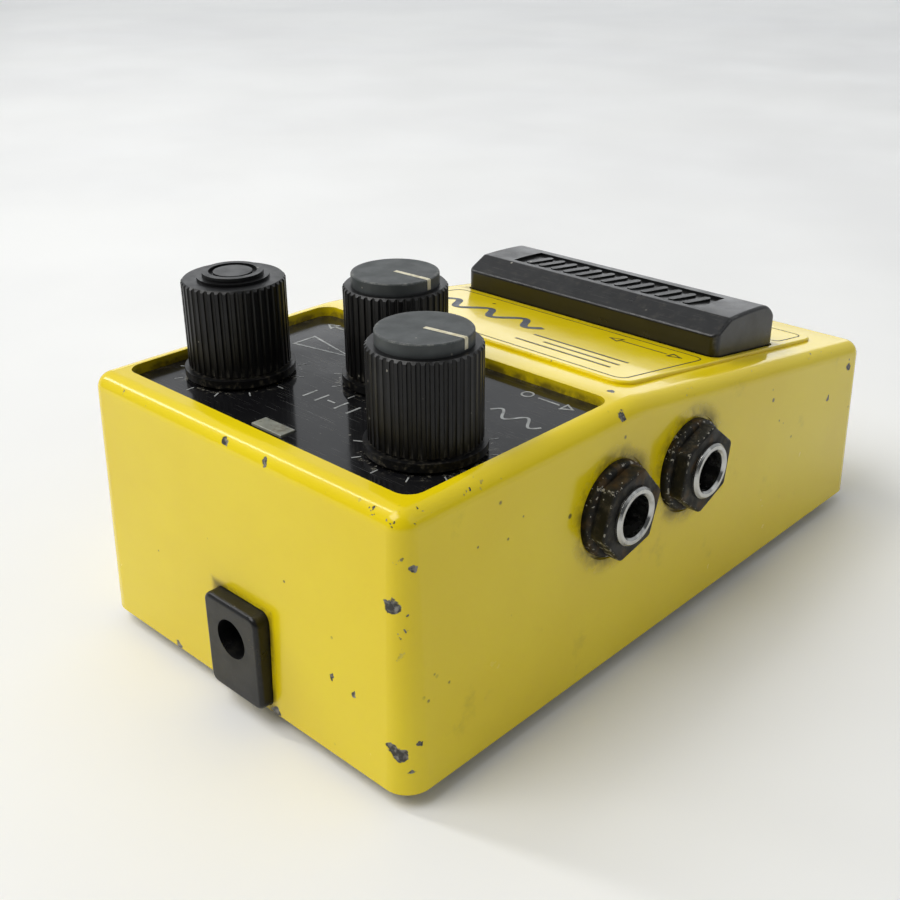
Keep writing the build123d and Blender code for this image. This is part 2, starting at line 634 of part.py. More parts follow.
def cross_recess(plane, radius, depth):
    """Cut the cross slot of a screw head that faces along the plane's normal."""
    with BuildSketch(plane.offset(-depth)) as slots:
        Rectangle(2 * radius, radius / 2.5)
        Rectangle(radius / 2.5, 2 * radius)
    extrude(slots.sketch, amount=2 * depth, mode=Mode.SUBTRACT)


with BuildPart() as base_screws:
    with BuildSketch(level(0)):
        with Locations(*BOSS_SPOTS):
            Circle(SCREW_R)
    extrude(amount=SCREW_L)
    with BuildSketch(level(-SCREW_HEAD_T)):
        with Locations(*BOSS_SPOTS):
            Circle(SCREW_HEAD_R)
    extrude(amount=SCREW_HEAD_T)
    chamfer(base_screws.edges().filter_by(GeomType.CIRCLE).group_by(Axis.Z)[0], SCREW_HEAD_T / 3)
    for boss_x, boss_y in BOSS_SPOTS:
        underside = Plane(
            origin=(boss_x, CASE_Y + boss_y, RIM_Z - SCREW_HEAD_T), z_dir=(0, 0, -1)
        )
        cross_recess(underside, SCREW_HEAD_R / 2, SCREW_HEAD_T / 2)
save(base_screws, "base_screws")

with BuildPart() as rubber_feet:
    with BuildSketch(level(-FOOT_H)):
        with GridLocations(2 * FOOT_X, 2 * FOOT_Y, 2, 2):
            Circle(FOOT_R)
    extrude(amount=FOOT_H)
    fillet(rubber_feet.edges().filter_by(GeomType.CIRCLE).group_by(Axis.Z)[0], FOOT_H / 4)
save(rubber_feet, "rubber_feet")

with BuildPart() as panel_plate:
    with BuildSketch(level(RECESS_H)):
        with Locations((0, PANEL_MID)):
            RectangleRounded(
                PANEL_X - 2 * PANEL_FIT, PANEL_L - 2 * PANEL_FIT, PANEL_CORNER_R - PANEL_FIT
            )
        with Locations(*POT_SPOTS):
            Circle(BUSH_R + BUSH_HOLE_FIT, mode=Mode.SUBTRACT)
        with Locations((0, LED_Y)):
            Rectangle(
                LED_X_SIZE + 2 * LED_FIT, LED_Y_SIZE + 2 * LED_FIT, mode=Mode.SUBTRACT
            )
    extrude(amount=PANEL_T)
save(panel_plate, "panel_plate")

# ================================================================== knobs and pots
for name, (knob_x, knob_y, pointer) in KNOBS.items():
    with BuildPart() as knob:
        with BuildSketch(through_axis(knob_x, knob_y)):
            with BuildLine():
                Polyline(
                    (NUT_ROOM_R, KNOB_H),
                    (COLLAR_R, KNOB_H),
                    (COLLAR_R, KNOB_H + COLLAR_T),
                    (NECK_R, KNOB_H + COLLAR_T),
                    (NECK_R, FLUTE_H),
                    (KNOB_R, FLUTE_H),
                    (KNOB_R, SHOULDER_H - SHOULDER_R),
                    (KNOB_R - SHOULDER_R, SHOULDER_H),
                    (STEP_R, SHOULDER_H),
                    (STEP_R, SHOULDER_H + STEP_T),
                    (RING_R, SHOULDER_H + STEP_T),
                    (RING_R, SHOULDER_H + RING_T),
                    (RING_BORE_R, SHOULDER_H + RING_T),
                    (RING_BORE_R, SHOULDER_H + RING_FLOOR),
                    (DISC_R, SHOULDER_H + RING_FLOOR),
                    (DISC_R, SHOULDER_H + DISC_T),
                    (0, SHOULDER_H + DISC_T),
                    (0, BORE_TOP),
                    (SHAFT_R + SHAFT_FIT, BORE_TOP),
                    (SHAFT_R + SHAFT_FIT, KNOB_H + NUT_ROOM_T),
                    (NUT_ROOM_R, KNOB_H + NUT_ROOM_T),
                    close=True,
                )
            make_face()
        revolve(axis=upright_axis(knob_x, knob_y))
        with BuildSketch(level(FLUTE_H, knob_x, knob_y)):
            with PolarLocations(KNOB_R + FLUTE_OUT, FLUTES):
                Circle(FLUTE_R)
        extrude(amount=FAR, mode=Mode.SUBTRACT)
        # land that meets the flat of the shaft
        land = SHAFT_FLAT + SHAFT_FIT
        with BuildSketch(turned(BORE_TOP - SHAFT_FLAT_L, knob_x, knob_y, pointer)):
            Circle(SHAFT_R + 2 * SHAFT_FIT)
            with Locations((land - SHAFT_R, 0)):
                Rectangle(2 * SHAFT_R, 3 * SHAFT_R, mode=Mode.SUBTRACT)
        extrude(amount=SHAFT_FLAT_L)
    save(knob, f"knob_{name}")

    with BuildPart() as pot_shaft:
        rotor_h = POT_H + POT_SHELL + ROTOR_LIFT
        with BuildSketch(level(rotor_h, knob_x, knob_y)):
            Circle(ROTOR_R)
        extrude(amount=ROTOR_T)
        with BuildSketch(level(rotor_h, knob_x, knob_y)):
            Circle(SHAFT_R)
        extrude(amount=SHAFT_TOP - rotor_h)
        flat_h = BORE_TOP - SHAFT_FLAT_L - SHAFT_TIP_GAP
        with BuildSketch(turned(flat_h, knob_x, knob_y, pointer)):
            with Locations((SHAFT_FLAT + SHAFT_R, 0)):
                Rectangle(2 * SHAFT_R, 3 * SHAFT_R)
        extrude(amount=FAR, mode=Mode.SUBTRACT)
    save(pot_shaft, f"pot_shaft_{name}")

    with BuildPart() as pot_body:
        with BuildSketch(level(POT_H, knob_x, knob_y)):
            Circle(POT_R)
        extrude(amount=POT_T)
        with BuildSketch(level(POT_H + POT_SHELL, knob_x, knob_y)):
            Circle(POT_R - POT_SHELL)
        extrude(amount=POT_T - 2 * POT_SHELL, mode=Mode.SUBTRACT)
        with BuildSketch(level(POT_TOP, knob_x, knob_y)):
            Circle(BUSH_R)
        extrude(amount=BUSH_L)
        with BuildSketch(level(POT_H + POT_SHELL, knob_x, knob_y)):
            Circle(SHAFT_R + BUSH_RUN)
        extrude(amount=FAR, mode=Mode.SUBTRACT)
    save(pot_body, f"pot_body_{name}")

for name in CAPPED:
    knob_x, knob_y, pointer = KNOBS[name]
    mark_low = SHOULDER_H + CAP_EDGE_R
    with BuildPart() as cap:
        with BuildSketch(level(SHOULDER_H, knob_x, knob_y)):
            Circle(CAP_R)
        extrude(amount=CAP_T)
        fillet(cap.edges().filter_by(GeomType.CIRCLE).group_by(Axis.Z)[-1], CAP_EDGE_R)
        with BuildSketch(level(SHOULDER_H, knob_x, knob_y)):
            Circle(STEP_R + CAP_FIT)
        extrude(amount=RING_T + CAP_FIT, mode=Mode.SUBTRACT)
        groove_w = MARK_W + 2 * MARK_FIT
        with BuildSketch(turned(CAP_TOP - MARK_D, knob_x, knob_y, pointer)):
            with Locations((CAP_R, 0)):
                Rectangle(2 * CAP_R, groove_w)
        extrude(amount=CAP_T, mode=Mode.SUBTRACT)
        with BuildSketch(turned(mark_low, knob_x, knob_y, pointer)):
            with Locations((1.5 * CAP_R - MARK_D, 0)):
                Rectangle(CAP_R, groove_w)
        extrude(amount=CAP_T, mode=Mode.SUBTRACT)
    save(cap, f"knob_cap_{name}")

    with BuildPart() as mark:
        tip = CAP_R + MARK_PROUD
        with BuildSketch(turned(CAP_TOP - MARK_D, knob_x, knob_y, pointer)):
            with Locations((between(MARK_FIT, tip), 0)):
                Rectangle(tip - MARK_FIT, MARK_W)
        extrude(amount=MARK_D + MARK_PROUD)
        with BuildSketch(turned(mark_low + MARK_FIT, knob_x, knob_y, pointer)):
            with Locations((tip - MARK_D / 2, 0)):
                Rectangle(MARK_D, MARK_W)
        extrude(amount=CAP_TOP - mark_low - MARK_FIT)
        outer_edge = mark.edges().filter_by(lambda e: abs((e % 0.5).Z) < 0.01)
        bend = outer_edge.group_by(Axis.Z)[-1].sort_by(
            lambda e: -((e @ 0.5) - Vector(knob_x, knob_y + CASE_Y, (e @ 0.5).Z)).length
        )[0]
        fillet(bend, CAP_EDGE_R)
    save(mark, f"pointer_{name}")

with BuildPart() as pot_washers:
    with BuildSketch(level(PANEL_H)):
        with Locations(*POT_SPOTS):
            Circle(WASHER_R)
            Circle(BUSH_R + SCREW_FIT, mode=Mode.SUBTRACT)
    extrude(amount=WASHER_T)
save(pot_washers, "pot_washers")

with BuildPart() as pot_nuts:
    with BuildSketch(level(PANEL_H + WASHER_T)):
        with Locations(*POT_SPOTS):
            RegularPolygon(NUT_AF / 2, 6, major_radius=False)
            Circle(BUSH_R + SCREW_FIT, mode=Mode.SUBTRACT)
    extrude(amount=NUT_T)
save(pot_nuts, "pot_nuts")

with BuildPart() as pot_terminals:
    with BuildSketch(level(CONTROL_H - PIN_TIP)):
        with Locations(*TERMINAL_SPOTS):
            Rectangle(TERMINAL_W, TERMINAL_W)
    extrude(amount=POT_H - CONTROL_H + PIN_TIP)
save(pot_terminals, "pot_terminals")

# ================================================================== lamp
with BuildPart() as led:
    with BuildSketch(level(LED_BASE, 0, LED_Y)):
        Rectangle(LED_X_SIZE + 2 * LED_FLANGE, LED_Y_SIZE + 2 * LED_FLANGE)
    extrude(amount=LED_FLANGE_T)
    with BuildSketch(level(LED_BASE, 0, LED_Y)):
        Rectangle(LED_X_SIZE, LED_Y_SIZE)
    extrude(amount=PANEL_H + LED_PROUD - LED_BASE)
    fillet(led.faces().sort_by(Axis.Z)[-1].edges(), LED_EDGE_R)
save(led, "led")

with BuildPart() as led_leads:
    with BuildSketch(level(CONTROL_H - PIN_TIP)):
        with Locations(*LED_SPOTS):
            Rectangle(LED_LEG, LED_LEG)
    extrude(amount=LED_BASE - CONTROL_H + PIN_TIP)
save(led_leads, "led_leads")

# ================================================================== jacks
with BuildPart() as jack_nuts:
    for name, (side, jack_y) in JACKS.items():
        with BuildSketch(sideways(side, JACK_SEAT_X, jack_y, JACK_H)):
            Circle(JACK_NUT_R)
        extrude(amount=JACK_NUT_FLANGE_T)
        rims = jack_nuts.edges(Select.LAST).filter_by(GeomType.CIRCLE)
        fillet(rims.sort_by(lambda e: abs(e.arc_center.X))[-1], JACK_NUT_FLANGE_T / 2)
        with BuildSketch(sideways(side, JACK_SEAT_X, jack_y, JACK_H)) as hexagon:
            RegularPolygon(JACK_NUT_AF / 2, 6, major_radius=False, rotation=JACK_NUT_TURNS[name])
            fillet(hexagon.vertices(), JACK_NUT_CORNER_R)
        extrude(amount=JACK_NUT_T)
        end = jack_nuts.faces(Select.LAST).sort_by(lambda f: abs(f.center().X))[-1]
        fillet(end.edges(), JACK_NUT_EDGE_R)
        with BuildSketch(sideways(side, JACK_SEAT_X - THROUGH, jack_y, JACK_H)):
            Circle(SLEEVE_R + SCREW_FIT)
        extrude(amount=JACK_NUT_T + 2 * THROUGH, mode=Mode.SUBTRACT)
save(jack_nuts, "jack_nuts")

for name, (side, jack_y) in JACKS.items():
    collar_x = JACK_BODY_X - JACK_SHELL
    with BuildPart() as sleeve:
        sleeve_back = collar_x - SLEEVE_COLLAR_T
        with BuildSketch(sideways(side, sleeve_back, jack_y, JACK_H)):
            Circle(SLEEVE_R)
        extrude(amount=JACK_FACE_X - sleeve_back)
        with BuildSketch(sideways(side, sleeve_back, jack_y, JACK_H)):
            Circle(SLEEVE_COLLAR_R)
        extrude(amount=SLEEVE_COLLAR_T)
        with BuildSketch(sideways(side, sleeve_back - THROUGH, jack_y, JACK_H)):
            Circle(JACK_BORE_R)
        extrude(amount=CASE_W, mode=Mode.SUBTRACT)
        rims = sleeve.edges().filter_by(
            lambda e: e.geom_type == GeomType.CIRCLE
            and abs(abs(e.arc_center.X) - JACK_FACE_X) < 0.01
        )
        chamfer(rims, SLEEVE_CHAMFER)
    save(sleeve, f"jack_sleeve_{name}")

    with BuildPart() as jack_body:
        with BuildSketch(sideways(side, JACK_END, jack_y, JACK_H)):
            Rectangle(JACK_BODY_W, JACK_BODY_H)
        extrude(amount=JACK_BODY_X - JACK_END)
        fillet(jack_body.edges().filter_by(Axis.X), JACK_BODY_R)
        # room for the plug and the contact, open at the inner end for the plug's tip
        with BuildSketch(sideways(side, JACK_END + JACK_SHELL, jack_y, JACK_H)):
            Circle(JACK_ROOM_R)
            with Locations((0, (JACK_BODY_H / 2 - JACK_SHELL) / 2)):
                Rectangle(LEAF_W + 2 * LEAF_SLOT, JACK_BODY_H / 2 - JACK_SHELL)
        extrude(amount=collar_x - JACK_END - JACK_SHELL, mode=Mode.SUBTRACT)
        with BuildSketch(sideways(side, collar_x - SLEEVE_COLLAR_T, jack_y, JACK_H)):
            Circle(SLEEVE_COLLAR_R + SCREW_FIT)
        extrude(amount=SLEEVE_COLLAR_T, mode=Mode.SUBTRACT)
        with BuildSketch(sideways(side, JACK_END - THROUGH, jack_y, JACK_H)):
            Circle(JACK_BORE_R + JACK_END_FIT)
        extrude(amount=JACK_SHELL + 2 * THROUGH, mode=Mode.SUBTRACT)
        with BuildSketch(sideways(side, collar_x - THROUGH, jack_y, JACK_H)):
            Circle(SLEEVE_R + SCREW_FIT)
        extrude(amount=CASE_W, mode=Mode.SUBTRACT)
        with BuildSketch(level(MAIN_TOP - THROUGH, side * LEAF_TAIL_X, jack_y)):
            Rectangle(LEAF_T + 2 * LEAF_SLOT, LEAF_W + 2 * LEAF_SLOT)
        extrude(amount=JACK_BODY_H / 2 + THROUGH, mode=Mode.SUBTRACT)
    save(jack_body, f"jack_body_{name}")

    # sprung contact: a leaf that hangs from the roof of the body down to the plug's tip
    leaf_top = JACK_H + JACK_BODY_H / 2 - JACK_SHELL - LEAF_SLOT
    touch = JACK_H + JACK_BORE_R + LEAF_TOUCH
    with BuildPart() as leaf:
        leaf_plane = Plane(
            origin=(0, CASE_Y + jack_y + side * LEAF_W / 2, RIM_Z),
            x_dir=(side, 0, 0),
            z_dir=(0, -side, 0),
        )
        with BuildSketch(leaf_plane):
            with BuildLine():
                spine = Polyline(
                    (LEAF_TAIL_X + LEAF_L, leaf_top - LEAF_T),
                    (LEAF_TAIL_X + LEAF_FALL, leaf_top - LEAF_T),
                    (LEAF_TAIL_X, touch),
                    (LEAF_TAIL_X - LEAF_HOOK, leaf_top - 2 * LEAF_T),
                )
                offset(spine, amount=LEAF_T / 2, side=Side.BOTH)
            make_face()
        extrude(amount=LEAF_W)
    save(leaf, f"jack_contact_{name}")

# ================================================================== power socket
with BuildPart() as dc_jack_body:
    with BuildSketch(rearward(DC_SEAT_Y, DC_X, between(DC_PLATE_BOTTOM, DC_PLATE_TOP))):
        RectangleRounded(DC_PLATE_W, DC_PLATE_TOP - DC_PLATE_BOTTOM, DC_PLATE_R)
    extrude(amount=DC_FACE_Y - DC_SEAT_Y)
    fillet(dc_jack_body.faces().sort_by(Axis.Y)[-1].edges(), DC_EDGE_R)
    with BuildSketch(rearward(DC_BACK_Y, DC_X, DC_H)):
        Rectangle(DC_BODY_W, DC_BODY_H)
    extrude(amount=DC_BODY_L)
    with BuildSketch(rearward(DC_FACE_Y - DC_HOLE_L, DC_X, DC_H)):
        Circle(DC_HOLE_R)
        with Locations((0, -DC_HOLE_R)):
            Rectangle(DC_LEAF_ROOM_W, DC_LEAF_ROOM_T)
    extrude(amount=DC_HOLE_L - DC_MOUTH_L, mode=Mode.SUBTRACT)
    with BuildSketch(rearward(DC_FACE_Y - DC_HOLE_L, DC_X, DC_H)):
        Circle(DC_HOLE_R)
    extrude(amount=DC_HOLE_L + THROUGH, mode=Mode.SUBTRACT)
    with BuildSketch(rearward(DC_BACK_Y - THROUGH, DC_X, DC_H)):
        Circle(DC_PIN_R + SCREW_FIT)
        with Locations((0, -DC_HOLE_R - DC_LEAF_DROP)):
            Rectangle(DC_SLOT_W, DC_SLOT_T)
    extrude(amount=DC_BODY_L, mode=Mode.SUBTRACT)
save(dc_jack_body, "dc_jack_body")

with BuildPart() as dc_jack_pin:
    with BuildSketch(rearward(DC_BACK_Y - DC_TAIL, DC_X, DC_H)):
        Circle(DC_PIN_R)
    extrude(amount=DC_FACE_Y - DC_PIN_INSET - DC_BACK_Y + DC_TAIL)
    fillet(dc_jack_pin.edges().sort_by(Axis.Y)[-1], DC_PIN_R / 2)
save(dc_jack_pin, "dc_jack_pin")

with BuildPart() as dc_jack_contact:
    contact_h = DC_H - DC_HOLE_R - DC_LEAF_DROP
    with BuildSketch(rearward(DC_BACK_Y - DC_TAIL, DC_X, contact_h)):
        Rectangle(DC_LEAF_W, DC_LEAF_T)
    extrude(amount=DC_FACE_Y - DC_LEAF_INSET - DC_BACK_Y + DC_TAIL)
save(dc_jack_contact, "dc_jack_contact")

# ================================================================== foot bar and its switch
bar_low_front = ceiling_h(BAR_FRONT) - BAR_STOP_GAP - BAR_LIP_T
bar_low_rear = ceiling_h(BAR_REAR) - BAR_STOP_GAP - BAR_LIP_T
with BuildPart() as treadle:
    with BuildSketch(lengthwise(-BAR_W / 2)):
        with BuildLine():
            Polyline(
                (BAR_FRONT, BAR_NOSE_H),
                (BAR_FRONT, bar_low_front),
                (BAR_REAR, bar_low_rear),
                (BAR_REAR, BAR_BEVEL_H),
                (BAR_TOP_Y, BAR_TOP_H),
            )
            SagittaArc((BAR_TOP_Y, BAR_TOP_H), (BAR_BROW_Y, BAR_BROW_H), -BAR_CROWN)
            ThreePointArc(
                (BAR_BROW_Y, BAR_BROW_H), (BAR_CHEEK_Y, BAR_CHEEK_H), (BAR_FRONT, BAR_NOSE_H)
            )
        make_face()
    extrude(amount=BAR_W)
    fillet(treadle.edges().filter_by(Axis.Z), BAR_CORNER_R)
    crown = treadle.edges().filter_by(lambda e: (e @ 0.5).Z > RIM_Z + BAR_NOSE_H - BAR_EDGE_R)
    fillet(crown, BAR_EDGE_R)
    # sunk field on the top, with plain slanted grip bars
    with BuildSketch(lengthwise(-FIELD_X / 2)):
        with BuildLine():
            Polyline(
                (FIELD_REAR, BAR_TOP_H - FIELD_DROP),
                (FIELD_FRONT, BAR_BROW_H - FIELD_DROP),
                (FIELD_FRONT, FAR),
                (FIELD_REAR, FAR),
                close=True,
            )
        make_face()
    extrude(amount=FIELD_X, mode=Mode.SUBTRACT)
    grip_root = BAR_BROW_H - FIELD_DROP - GRIP_ROOT
    with BuildSketch(level(grip_root, 0, between(FIELD_REAR, FIELD_FRONT))):
        with GridLocations(GRIP_PITCH, 1, GRIP_COUNT, 1):
            SlotOverall(GRIP_L, GRIP_W, rotation=90 - GRIP_LEAN)
    extrude(amount=GRIP_ROOT + GRIP_RISE)
    # lip that holds the bar in the casing
    with BuildSketch(lengthwise(-BAR_W / 2 - BAR_LIP)):
        with BuildLine():
            lip_front, lip_rear = BAR_FRONT - BAR_LIP, BAR_REAR + BAR_LIP
            Polyline(
                (lip_front, ceiling_h(lip_front) - BAR_STOP_GAP - BAR_LIP_T),
                (lip_rear, ceiling_h(lip_rear) - BAR_STOP_GAP - BAR_LIP_T),
                (lip_rear, ceiling_h(lip_rear) - BAR_STOP_GAP),
                (lip_front, ceiling_h(lip_front) - BAR_STOP_GAP),
                close=True,
            )
        make_face()
    extrude(amount=BAR_W + 2 * BAR_LIP)
    with BuildSketch(level(SWITCH_BOARD_TOP, 0, BAR_MID)):
        Rectangle(BAR_W - 2 * BAR_WALL, BAR_REAR - BAR_FRONT - 2 * BAR_WALL)
    extrude(amount=BAR_ROOF_H - SWITCH_BOARD_TOP, mode=Mode.SUBTRACT)
    # boss over the switch, and the two spring seats with their pins
    with BuildSketch(level(PLUNGER_TOP_H + PLUNGER_TOUCH, 0, BAR_MID)):
        Circle(2 * PLUNGER_R)
    extrude(amount=BAR_ROOF_H - PLUNGER_TOP_H)
    for spring_x in (-SPRING_X, SPRING_X):
        with BuildSketch(level(SPRING_SEAT_H, spring_x, BAR_MID)):
            Circle(SPRING_SEAT_R)
        extrude(amount=SPRING_SEAT_L + SPRING_SEAT_ROOT)
        with BuildSketch(level(SPRING_SEAT_H - SPRING_PIN_L, spring_x, BAR_MID)):
            Circle(SPRING_PIN_R)
        extrude(amount=SPRING_PIN_L)
save(treadle, "treadle")

for name, spring_x in (("left", -SPRING_X), ("right", SPRING_X)):
    spring_low = SWITCH_BOARD_TOP + SPRING_WIRE / 2 + SPRING_GAP
    spring_high = SPRING_SEAT_H - SPRING_WIRE / 2 - SPRING_GAP
    coil_r = SPRING_R - SPRING_WIRE / 2
    with BuildPart() as spring:
        with BuildLine(level(spring_low, spring_x, BAR_MID)):
            coil = Helix(SPRING_PITCH, spring_high - spring_low, coil_r)
        with BuildSketch(Plane(coil @ 0, z_dir=coil % 0)):
            Circle(SPRING_WIRE / 2)
        sweep(path=coil, is_frenet=True)
    save(spring, f"treadle_spring_{name}")

with BuildPart() as switch_board:
    with BuildSketch(level(SWITCH_BOARD_H)):
        with Locations((0, between(SWITCH_BOARD_FRONT, SWITCH_BOARD_REAR))):
            Rectangle(SWITCH_BOARD_X, SWITCH_BOARD_REAR - SWITCH_BOARD_FRONT)
        with Locations(*PILLAR_SPOTS):
            Circle(PILLAR_SCREW_R + SCREW_HOLE_FIT, mode=Mode.SUBTRACT)
    extrude(amount=BOARD_T)
save(switch_board, "switch_board")

with BuildPart() as switch_board_screws:
    with BuildSketch(level(SWITCH_BOARD_H - PILLAR_HEAD_T)):
        with Locations(*PILLAR_SPOTS):
            Circle(PILLAR_HEAD_R)
    extrude(amount=PILLAR_HEAD_T)
    with BuildSketch(level(SWITCH_BOARD_H)):
        with Locations(*PILLAR_SPOTS):
            Circle(PILLAR_SCREW_R)
    extrude(amount=BOARD_T + PILLAR_SCREW_L - PILLAR_TIP_ROOM)
    for pillar_x, pillar_y in PILLAR_SPOTS:
        underside = Plane(
            origin=(pillar_x, CASE_Y + pillar_y, RIM_Z + SWITCH_BOARD_H - PILLAR_HEAD_T),
            z_dir=(0, 0, -1),
        )
        cross_recess(underside, PILLAR_HEAD_R / 2, PILLAR_HEAD_T / 2)
save(switch_board_screws, "switch_board_screws")

with BuildPart() as switch_body:
    with BuildSketch(level(SWITCH_BOARD_TOP, 0, BAR_MID)):
        Rectangle(SWITCH_SIZE, SWITCH_SIZE)
    extrude(amount=SWITCH_T)
    fillet(switch_body.edges().filter_by(Axis.Z), SWITCH_CORNER_R)
    with BuildSketch(level(PLUNGER_FLOOR, 0, BAR_MID)):
        Circle(PLUNGER_HEAD_R + SWITCH_ROOM_FIT)
    extrude(amount=PLUNGER_ROOM_TOP - PLUNGER_FLOOR, mode=Mode.SUBTRACT)
    with BuildSketch(level(PLUNGER_FLOOR, 0, BAR_MID)):
        Circle(PLUNGER_R + PLUNGER_RUN)
    extrude(amount=FAR, mode=Mode.SUBTRACT)
save(switch_body, "switch_body")

with BuildPart() as switch_plunger:
    with BuildSketch(level(PLUNGER_LOW, 0, BAR_MID)):
        Circle(PLUNGER_HEAD_R)
    extrude(amount=PLUNGER_HEAD_T)
    with BuildSketch(level(PLUNGER_LOW, 0, BAR_MID)):
        Circle(PLUNGER_R)
    extrude(amount=PLUNGER_TOP_H - PLUNGER_LOW)
save(switch_plunger, "switch_plunger")

# ================================================================== boards and their parts
with BuildPart() as main_board:
    with BuildSketch(level(MAIN_H)):
        with Locations((0, between(MAIN_FRONT, MAIN_REAR))):
            Rectangle(MAIN_X, MAIN_REAR - MAIN_FRONT)
        with Locations((0, HEADER_Y)):
            with GridLocations(HEADER_PITCH, 1, HEADER_PINS, 1):
                Rectangle(
                    HEADER_PIN + 2 * PIN_FIT, HEADER_PIN + 2 * PIN_FIT, mode=Mode.SUBTRACT
                )
    extrude(amount=BOARD_T)
save(main_board, "main_board")

with BuildPart() as control_board:
    with BuildSketch(level(CONTROL_H)):
        with Locations((0, between(CONTROL_FRONT, CONTROL_REAR))):
            Rectangle(CONTROL_X, CONTROL_REAR - CONTROL_FRONT)
        with Locations((0, between(CONTROL_TAB_FRONT, CONTROL_FRONT))):
            Rectangle(CONTROL_TAB_X, CONTROL_FRONT - CONTROL_TAB_FRONT)
        with Locations((0, HEADER_Y)):
            with GridLocations(HEADER_PITCH, 1, HEADER_PINS, 1):
                Rectangle(
                    HEADER_PIN + 2 * PIN_FIT, HEADER_PIN + 2 * PIN_FIT, mode=Mode.SUBTRACT
                )
        with Locations(*TERMINAL_SPOTS):
            Rectangle(TERMINAL_W + 2 * PIN_FIT, TERMINAL_W + 2 * PIN_FIT, mode=Mode.SUBTRACT)
        with Locations(*LED_SPOTS):
            Rectangle(LED_LEG + 2 * PIN_FIT, LED_LEG + 2 * PIN_FIT, mode=Mode.SUBTRACT)
    extrude(amount=BOARD_T)
save(control_board, "control_board")

with BuildPart() as board_header:
    with BuildSketch(level(MAIN_TOP)):
        with Locations((0, HEADER_Y)):
            Rectangle(HEADER_PINS * HEADER_PITCH, HEADER_PITCH)
            with GridLocations(HEADER_PITCH, 1, HEADER_PINS, 1):
                Rectangle(
                    HEADER_PIN + 2 * PIN_FIT, HEADER_PIN + 2 * PIN_FIT, mode=Mode.SUBTRACT
                )
    extrude(amount=CONTROL_H - MAIN_TOP)
save(board_header, "board_header")

with BuildPart() as header_pins:
    with BuildSketch(level(MAIN_H - PIN_TIP)):
        with Locations((0, HEADER_Y)):
            with GridLocations(HEADER_PITCH, 1, HEADER_PINS, 1):
                Rectangle(HEADER_PIN, HEADER_PIN)
    extrude(amount=CONTROL_H + BOARD_T - MAIN_H + 2 * PIN_TIP)
save(header_pins, "header_pins")

# these hang from the underside of the main board
with BuildPart() as ic_chips:
    for chip_x, chip_y, legs in CHIPS:
        with BuildSketch(level(MAIN_H - CHIP_LIFT, chip_x, chip_y)):
            Rectangle(CHIP_W, legs * HEADER_PITCH)
        extrude(amount=-CHIP_T)
        with BuildSketch(level(MAIN_H, chip_x, chip_y)):
            with GridLocations(CHIP_ROW, HEADER_PITCH, 2, legs):
                Rectangle(CHIP_LEG_T, CHIP_LEG_W)
        extrude(amount=-CHIP_LIFT - CHIP_T / 2)
        with BuildSketch(level(MAIN_H - CHIP_LIFT - CHIP_T / 2, chip_x, chip_y)):
            with GridLocations(0, HEADER_PITCH, 1, legs):
                Rectangle(CHIP_ROW + CHIP_LEG_T, CHIP_LEG_W)
        extrude(amount=-CHIP_LEG_ROOT)
save(ic_chips, "ic_chips")

with BuildPart() as electrolytics:
    with BuildSketch(level(MAIN_H)):
        with Locations(*CAN_SPOTS):
            Circle(CAN_R)
    extrude(amount=-CAN_T)
    fillet(electrolytics.edges().filter_by(GeomType.CIRCLE).group_by(Axis.Z)[0], CAN_EDGE_R)
save(electrolytics, "electrolytic_capacitors")

with BuildPart() as resistors:
    for resistor_x, resistor_y in RESISTOR_SPOTS:
        middle_h = MAIN_H - RESISTOR_R - RESISTOR_GAP
        with BuildSketch(sideways(1, resistor_x - RESISTOR_L / 2, resistor_y, middle_h)):
            Circle(RESISTOR_R)
        extrude(amount=RESISTOR_L)
        with BuildSketch(sideways(1, resistor_x - LEAD_SPAN / 2, resistor_y, middle_h)):
            Rectangle(LEAD_W, LEAD_W)
        extrude(amount=LEAD_SPAN)
        with BuildSketch(level(middle_h, resistor_x, resistor_y)):
            with GridLocations(LEAD_SPAN - LEAD_W, 1, 2, 1):
                Rectangle(LEAD_W, LEAD_W)
        extrude(amount=MAIN_H - middle_h)
save(resistors, "resistors")

# ================================================================== battery
with BuildPart() as battery_foam:
    with BuildSketch(level(PLATE_T, BATTERY_MID_X, BATTERY_MID_Y)):
        Rectangle(BATTERY_X - 2 * FOAM_INSET_X, BATTERY_Y - 2 * FOAM_INSET_Y)
    extrude(amount=FOAM_T)
save(battery_foam, "battery_foam")

with BuildPart() as battery:
    with BuildSketch(level(BATTERY_BOTTOM, BATTERY_MID_X, BATTERY_MID_Y)):
        Rectangle(BATTERY_X, BATTERY_Y)
    extrude(amount=BATTERY_H)
    fillet(battery.edges().filter_by(Axis.X), BATTERY_R)
save(battery, "battery")

with BuildPart() as battery_terminals:
    with BuildSketch(sideways(1, BATTERY_END, BATTERY_MID_Y, STUD_H)):
        with GridLocations(STUD_PITCH, 1, 2, 1):
            Circle(STUD_R)
    extrude(amount=STUD_L)
save(battery_terminals, "battery_terminals")

with BuildPart() as battery_snap:
    with BuildSketch(sideways(1, SNAP_X, BATTERY_MID_Y, STUD_H)):
        SlotOverall(BATTERY_Y - 2 * SNAP_INSET_Y, BATTERY_H - 2 * SNAP_INSET_H)
    extrude(amount=SNAP_T)
save(battery_snap, "battery_snap")

